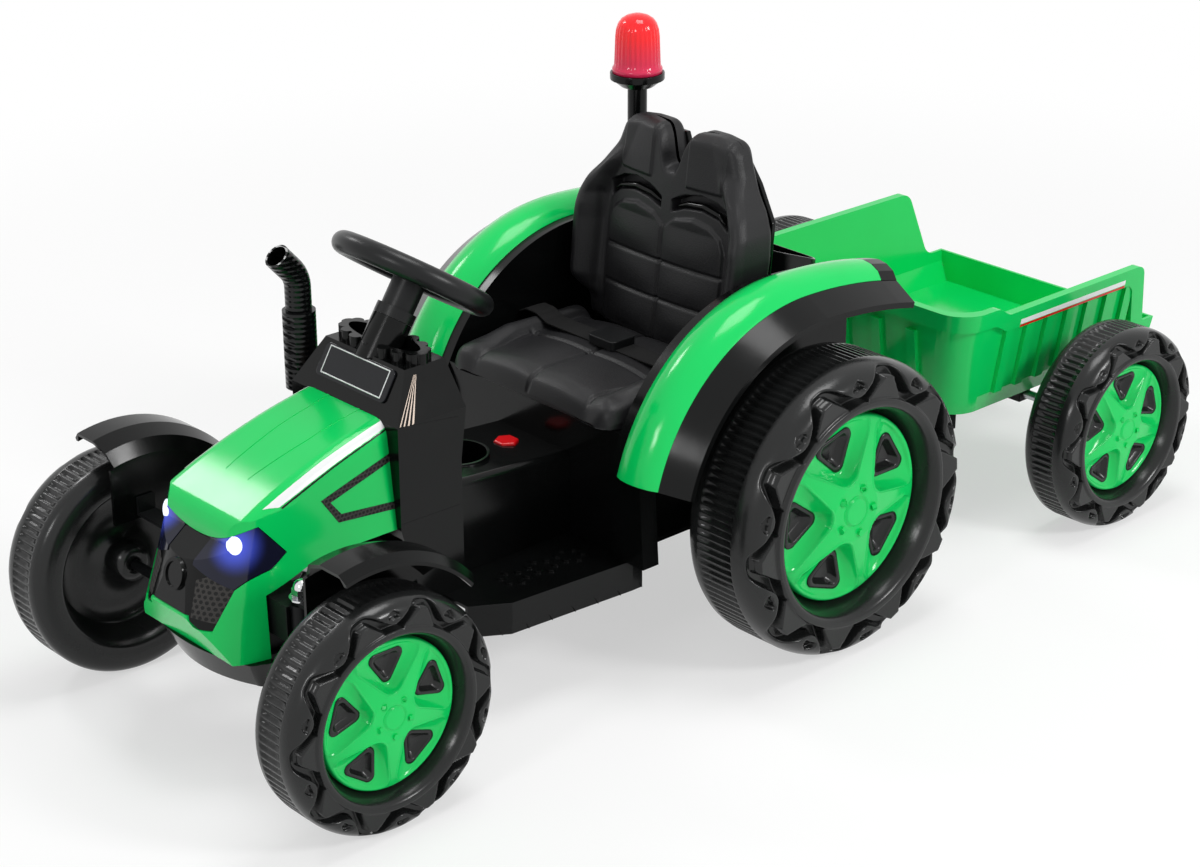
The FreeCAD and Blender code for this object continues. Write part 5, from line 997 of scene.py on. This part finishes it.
back_across, back_deep = loop_shares(face=78, side=8, back=40)
back_runs, back_opens = pad_rows(count=56)
back_foot = 301.0
back_thick = 32.5
back_crown = 7.0
back_foot_y = 5.8
back_foot_z = 300.0
back_lean = 30.0 / 265.0
wing_width = 26.0
wing_slope = 24.0
crown_margin = 8.0
front_side_roll = 11.0
front_top_roll = 10.0
front_foot_roll = 8.0
back_rear_roll = 6.0
hump_across = (0, 7, 11, 19, 25, 32, 60, 82, 88, 91)
hump_top = (515, 516, 524, 549, 558, 562, 563, 561, 556, 548)
side_heights = (300, 330, 366, 430, 462, 484, 505, 530, 565)
side_halves = (131, 138, 141, 143, 140, 131, 117, 105, 92)
wing_heights = (328, 342, 360, 448, 478, 508, 525)
wing_reach = (0, 17, 32, 32, 25, 11, 0)


def back_face(z):
    # How far back the leaning front of the seat back lies at a height
    return back_foot_y + back_lean * (z - back_foot_z)


def back_shape(row, turn):
    # The back before it is stuffed: two humps on top, and wings that reach forward at its sides
    step = step_of(turn, len(back_across))
    across = back_across[step]
    top = np.interp(np.abs(across) * hump_across[-1], hump_across, hump_top)
    z = back_foot + back_runs[row] * (top - back_foot)
    half = np.interp(z, side_heights, side_halves)
    x = across * half
    rim = half - np.abs(x)
    wing = np.interp(z, wing_heights, wing_reach)
    front = back_face(z) - back_crown * np.clip(1 - (x / (half - wing_width - crown_margin)) ** 2, 0, 1)
    front -= wing * step_up(wing_width - rim, wing_slope)
    rear = back_face(z) + back_thick
    top_fall = np.maximum(rolled(rim, front_side_roll), rolled(top - z, front_top_roll))
    front += np.maximum(top_fall, rolled(z - back_foot, front_foot_roll))
    rear -= np.maximum(rolled(rim, back_rear_roll), rolled(top - z, back_rear_roll))
    middle = (front + rear) / 2
    y = front + (rear - front) * back_deep[step]
    y = middle + (y - middle) * back_opens[row]
    return np.stack([x, y, z], 1) / 1000


def slot_low(out):
    # The lower edge of the slot in each half of the back
    return np.interp(out, (8, 30, 58, 84, 98), (466, 474, 477, 472, 461))


def slot_high(out):
    # The upper edge of that slot
    return np.interp(out, (8, 30, 56, 80, 98), (479, 489, 493, 489, 480))


face_depth = 14.0
face_fade = 4.0
heart_across = (0, 5, 18, 48, 74, 90, 97)
heart_heights = (446, 449, 459, 465, 460, 449, 434)
heart_half = 97.0
heart_fade = 5.0
heart_proud = 3.5
quilt_foot = 311.0
quilt_tall = 46.5
quilt_puff = 3.0
quilt_fullness = 0.6
quilt_seam_half = 4.0
quilt_seam_depth = 2.6
wing_seam = 110.0
wing_seam_depth = 2.2
wing_seam_top = 466.0
wing_seam_top_fade = 12.0
wing_seam_foot = 340.0
wing_seam_foot_fade = 20.0
slot_depth = 15.0
slot_fade = 3.0
slot_inner = 9.5
slot_outer = 98.0
hump_panel_inner = 30.0
hump_panel_outer = 84.0
hump_panel_foot = 500.0
hump_panel_proud = 2.6
hump_panel_side_fade = 3.5
hump_panel_foot_fade = 5.0
back_low = (-152.0, -30.0, 300.2)
back_high = (152.0, 68.4, 565.0)


def back_seams(spots):
    # The quilted heart and the hump panels stand proud; the wing seams and the slots are pressed in
    x, y, z = spots.T
    out = np.abs(x)
    on_front = step_up(back_face(z) + face_depth - y, face_fade)
    heart = np.interp(out, heart_across, heart_heights)
    panel = step_up(heart - z, heart_fade) * step_up(heart_half - out, heart_fade)
    swell = np.abs(np.sin(np.clip(out / heart_half, 0, 1) * math.pi)) ** quilt_fullness
    swell *= np.abs(np.sin((z - quilt_foot) / quilt_tall * math.pi))
    press = -(heart_proud + quilt_puff * swell) * panel
    for line in (z - quilt_foot - quilt_tall, z - quilt_foot - 2 * quilt_tall, x):
        press += quilt_seam_depth * panel * seam(line, quilt_seam_half)
    wing = step_up(wing_seam_top - z, wing_seam_top_fade) * step_up(z - wing_seam_foot, wing_seam_foot_fade)
    press += wing_seam_depth * seam(out - wing_seam, seam_half) * wing
    slot = step_up(z - slot_low(out), slot_fade) * step_up(slot_high(out) - z, slot_fade)
    slot *= step_up(out - slot_inner, slot_fade) * step_up(slot_outer - out, slot_fade)
    press += slot_depth * slot
    hump = step_up(out - hump_panel_inner, hump_panel_side_fade)
    hump *= step_up(hump_panel_outer - out, hump_panel_side_fade)
    press -= hump_panel_proud * hump * step_up(z - hump_panel_foot, hump_panel_foot_fade)
    spots[:, 1] = y + press * on_front
    return np.clip(spots, back_low, back_high)


back = wrapped_grid("seat_back_cover", len(back_runs), len(back_across), back_shape)
stuffed(back, swell_mm=2.5)
sewn(back, back_seams)
back.data.materials.append(leather)
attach(back, "chassis")
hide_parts("seat_back_pad")

# Trim bars in the two slots of the seat back.
# Glossy black ABS mouldings, arched like the slot and pushed in from behind.

trim_runs = np.linspace(13, 94, 34)
trim_points = 14
trim_rise = 4.2
trim_middle = 53.5
trim_reach = 40.6
trim_proud = 2.0
trim_half_deep = 5.0
trim_half_tall = 3.6


def trim_shape(row, turn):
    # A bar along the slot's lower edge that thins towards its ends
    out = trim_runs[row]
    thick = np.sqrt(np.clip(1 - ((out - trim_middle) / trim_reach) ** 2, 0, 1)) ** 0.5
    middle_z = slot_low(out) + trim_rise
    y = back_face(middle_z) - trim_proud + trim_half_deep * thick * np.cos(turn)
    z = middle_z + trim_half_tall * thick * np.sin(turn)
    return np.stack([out, y, z], 1) / 1000


for side, mirror in both_sides:
    trim = wrapped_grid("seat_trim_" + side, len(trim_runs), trim_points, trim_shape)
    if mirror < 0:
        trim.data.transform(Matrix.Scale(-1, 4, (1, 0, 0)))
        trim.data.flip_normals()
    trim.data.materials.append(black_gloss)
    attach(trim, "chassis")

# Lap belt.
# Two lengths of woven black webbing laid over the cushion and its bolsters, from the
# buckle to the fender walls. The weave is drawn a little coarser than it is, to show.

webbing, tree, place = new_material("woven_polyester_webbing")
turned = add(tree, "Mapping", {"Vector": place, "Rotation": (0.0, 0.0, math.pi / 4)})
weave = add(tree, "TexChecker", {"Vector": turned.outputs["Vector"], "Scale": per_mm(1.4)})
tint = add(tree, "Mix", {"Factor": weave.outputs["Fac"], 6: linear("#101010"), 7: linear("#232323")},
           data_type="RGBA")
relief = add(tree, "Bump", {"Height": weave.outputs["Fac"], "Strength": 0.5, "Distance": 0.0004})
skin = add(tree, "BsdfPrincipled", {"Base Color": tint.outputs[2], "Roughness": 0.8,
                                    "Specular IOR Level": 0.15, "Normal": relief.outputs["Normal"]})
add(tree, "OutputMaterial", {"Surface": skin.outputs["BSDF"]})

belt_path = [(23.0, 319.6), (70.0, 319.6), (101.0, 320.0), (120.0, 327.6), (138.0, 328.0), (150.6, 322.6)]
belt_y = -71.5
belt_width = 30.0
belt_thick = 1.6
path_x, path_z = zip(*belt_path)
straps = []
for side, mirror in both_sides:
    bpy.ops.object.select_all(action="DESELECT")
    bpy.ops.mesh.primitive_grid_add(x_subdivisions=48, y_subdivisions=6, size=1)
    strap = bpy.context.object
    strap.name = "lap_belt_" + side
    for vertex in strap.data.vertices:
        spot = path_x[0] + (vertex.co.x + 0.5) * (path_x[-1] - path_x[0])
        height = np.interp(spot, path_x, path_z)
        vertex.co = (spot * mirror / 1000, (belt_y + vertex.co.y * belt_width) / 1000, height / 1000)
    thickened(strap, belt_thick)
    straps.append(strap)
belt = join("lap_belt_straps", straps)
belt.data.materials.append(webbing)
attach(belt, "chassis")
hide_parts("lap_belt")

# Beacon lens.
# Red acrylic dome with upright flutes, darker towards its foot, on a black mast.

foot_tint_heights = (0.600, 0.640)
beacon_red, tree, place = new_material("red_acrylic_beacon")
axes = add(tree, "SeparateXYZ", {"Vector": place})
rise = add(tree, "MapRange", {"Value": axes.outputs["Z"], "From Min": foot_tint_heights[0],
                              "From Max": foot_tint_heights[1]})
tint = add(tree, "Mix", {"Factor": rise.outputs["Result"], 6: linear("#C9244E"), 7: linear("#F51B22")},
           data_type="RGBA")
# The dome is given a faint emission, a painted glow that stands in for light passing through the red acrylic
skin = add(tree, "BsdfPrincipled", {"Base Color": tint.outputs[2], "Roughness": 0.12,
                                    "Specular IOR Level": 0.4, "Emission Color": tint.outputs[2],
                                    "Emission Strength": 0.12})
add(tree, "OutputMaterial", {"Surface": skin.outputs["BSDF"]})

beacon_radii = np.array([0.0, 30.8, 30.8, 30.0, 28.6, 28.2, 27.6, 27.0, 26.0, 23.6, 19.5, 13.5, 6.5, 0.0])
beacon_heights = np.array([595.3, 595.3, 600.0, 601.5, 603.0, 610.0, 625.0, 640.0, 648.0, 655.0, 660.4,
                           664.2, 666.3, 666.8])
beacon_low, beacon_high = node_box("beacon_lens")
beacon_x, beacon_y = (beacon_low + beacon_high)[:2] / 2 * 1000
flute_count = 28
flute_depth = 0.9
flute_ends = (606.0, 650.0)
flute_fades = (4.0, 8.0)
points_per_flute = 8


def beacon_shape(row, turn):
    # The dome's outline, drawn in by the flutes between its foot and its shoulder
    z = beacon_heights[row]
    fluted = step_up(z - flute_ends[0], flute_fades[0]) * step_up(flute_ends[1] - z, flute_fades[1])
    out = beacon_radii[row] - flute_depth * (0.5 + 0.5 * np.cos(flute_count * turn)) * fluted
    return np.stack([beacon_x + out * np.sin(turn), beacon_y + out * np.cos(turn), z], 1) / 1000


beacon = wrapped_grid("beacon_dome", len(beacon_radii), flute_count * points_per_flute, beacon_shape)
beacon.data.materials.append(beacon_red)
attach(beacon, "chassis")
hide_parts("beacon_lens")

# Floor, studio light and camera.
# A plain pale floor that fades into a white surround, four softboxes overhead and round
# about, and the camera where the photograph was taken from.


def seen_directly(tree):
    # One for the rays that show the background: straight from the camera, mirrored or through glass
    ray = add(tree, "LightPath", {})
    seen = add(tree, "Math", {0: ray.outputs["Is Camera Ray"], 1: ray.outputs["Is Glossy Ray"]},
               operation="MAXIMUM")
    seen = add(tree, "Math", {0: seen.outputs[0], 1: ray.outputs["Is Transmission Ray"]},
               operation="MAXIMUM")
    return seen.outputs[0]


floor_size = 60
white_from = 0.9
white_at = 2.4
white_share = 0.55
room_light = 0.42
pale_floor, tree, place = new_material("pale_studio_floor")
floor_skin = add(tree, "BsdfPrincipled", {"Base Color": linear("#FCFCFC"), "Roughness": 0.9,
                                          "Specular IOR Level": 0.1})
apart = add(tree, "VectorMath", {0: place}, operation="LENGTH")
far = add(tree, "MapRange", {"Value": apart.outputs["Value"], "From Min": white_from, "From Max": white_at,
                             "To Min": white_share, "To Max": 1.0}, interpolation_type="SMOOTHSTEP")
share = add(tree, "Math", {0: seen_directly(tree), 1: far.outputs["Result"]}, operation="MULTIPLY")
paper = add(tree, "Emission", {"Color": (1, 1, 1, 1), "Strength": 1.0})
both = add(tree, "MixShader", {0: share.outputs[0], 1: floor_skin.outputs["BSDF"], 2: paper.outputs[0]})
add(tree, "OutputMaterial", {"Surface": both.outputs[0]})
bpy.ops.object.select_all(action="DESELECT")
bpy.ops.mesh.primitive_plane_add(size=floor_size)
floor = bpy.context.object
floor.name = "studio_floor"
floor.data.materials.append(pale_floor)

world = bpy.data.worlds.new("white_studio")
bpy.context.scene.world = world
world.use_nodes = True
tree = world.node_tree
tree.nodes.clear()
around = add(tree, "Background", {"Color": (1, 1, 1, 1), "Strength": room_light})
white = add(tree, "Background", {"Color": (1, 1, 1, 1), "Strength": 1.0})
both = add(tree, "MixShader", {0: seen_directly(tree), 1: around.outputs[0], 2: white.outputs[0]})
add(tree, "OutputWorld", {"Surface": both.outputs[0]})


def softbox(name, size, watts, place, aim):
    # A square lamp that faces the point it is aimed at
    lamp = bpy.data.lights.new(name, "AREA")
    lamp.size = size
    lamp.energy = watts
    holder = bpy.data.objects.new(name, lamp)
    bpy.context.scene.collection.objects.link(holder)
    way = Vector(aim) - Vector(place)
    holder.location = place
    holder.rotation_euler = way.to_track_quat("-Z", "Y").to_euler()


softbox("overhead_softbox", size=1.2, watts=34, place=(0.2, 0.3, 3.2), aim=(0, 0, 0.2))
softbox("far_softbox", size=0.6, watts=16, place=(-2.5, -0.75, 2.4), aim=(0, -0.5, 0.3))
softbox("side_softbox", size=0.8, watts=60, place=(3.3, 0.9, 2.4), aim=(0, 0, 0.2))
softbox("front_softbox", size=0.7, watts=26, place=(0.9, -3.8, 2.2), aim=(0, -0.2, 0.3))

camera_place = (2.1043, -1.9952, 1.4303)
camera_azimuth = 47.8523
camera_elevation = 23.3051
camera_roll = -0.1791
camera_lens = 77.299
camera_sensor = 36.0
lens = bpy.data.cameras.new("photo_camera")
lens.lens = camera_lens
lens.sensor_width = camera_sensor
camera = bpy.data.objects.new("photo_camera", lens)
bpy.context.scene.collection.objects.link(camera)
aim = Euler((math.radians(90 - camera_elevation), 0, math.radians(camera_azimuth))).to_matrix().to_4x4()
roll = Matrix.Rotation(math.radians(camera_roll), 4, "Z")
camera.matrix_world = Matrix.Translation(camera_place) @ aim @ roll
bpy.context.scene.camera = camera
bpy.context.scene.view_settings.view_transform = "Standard"
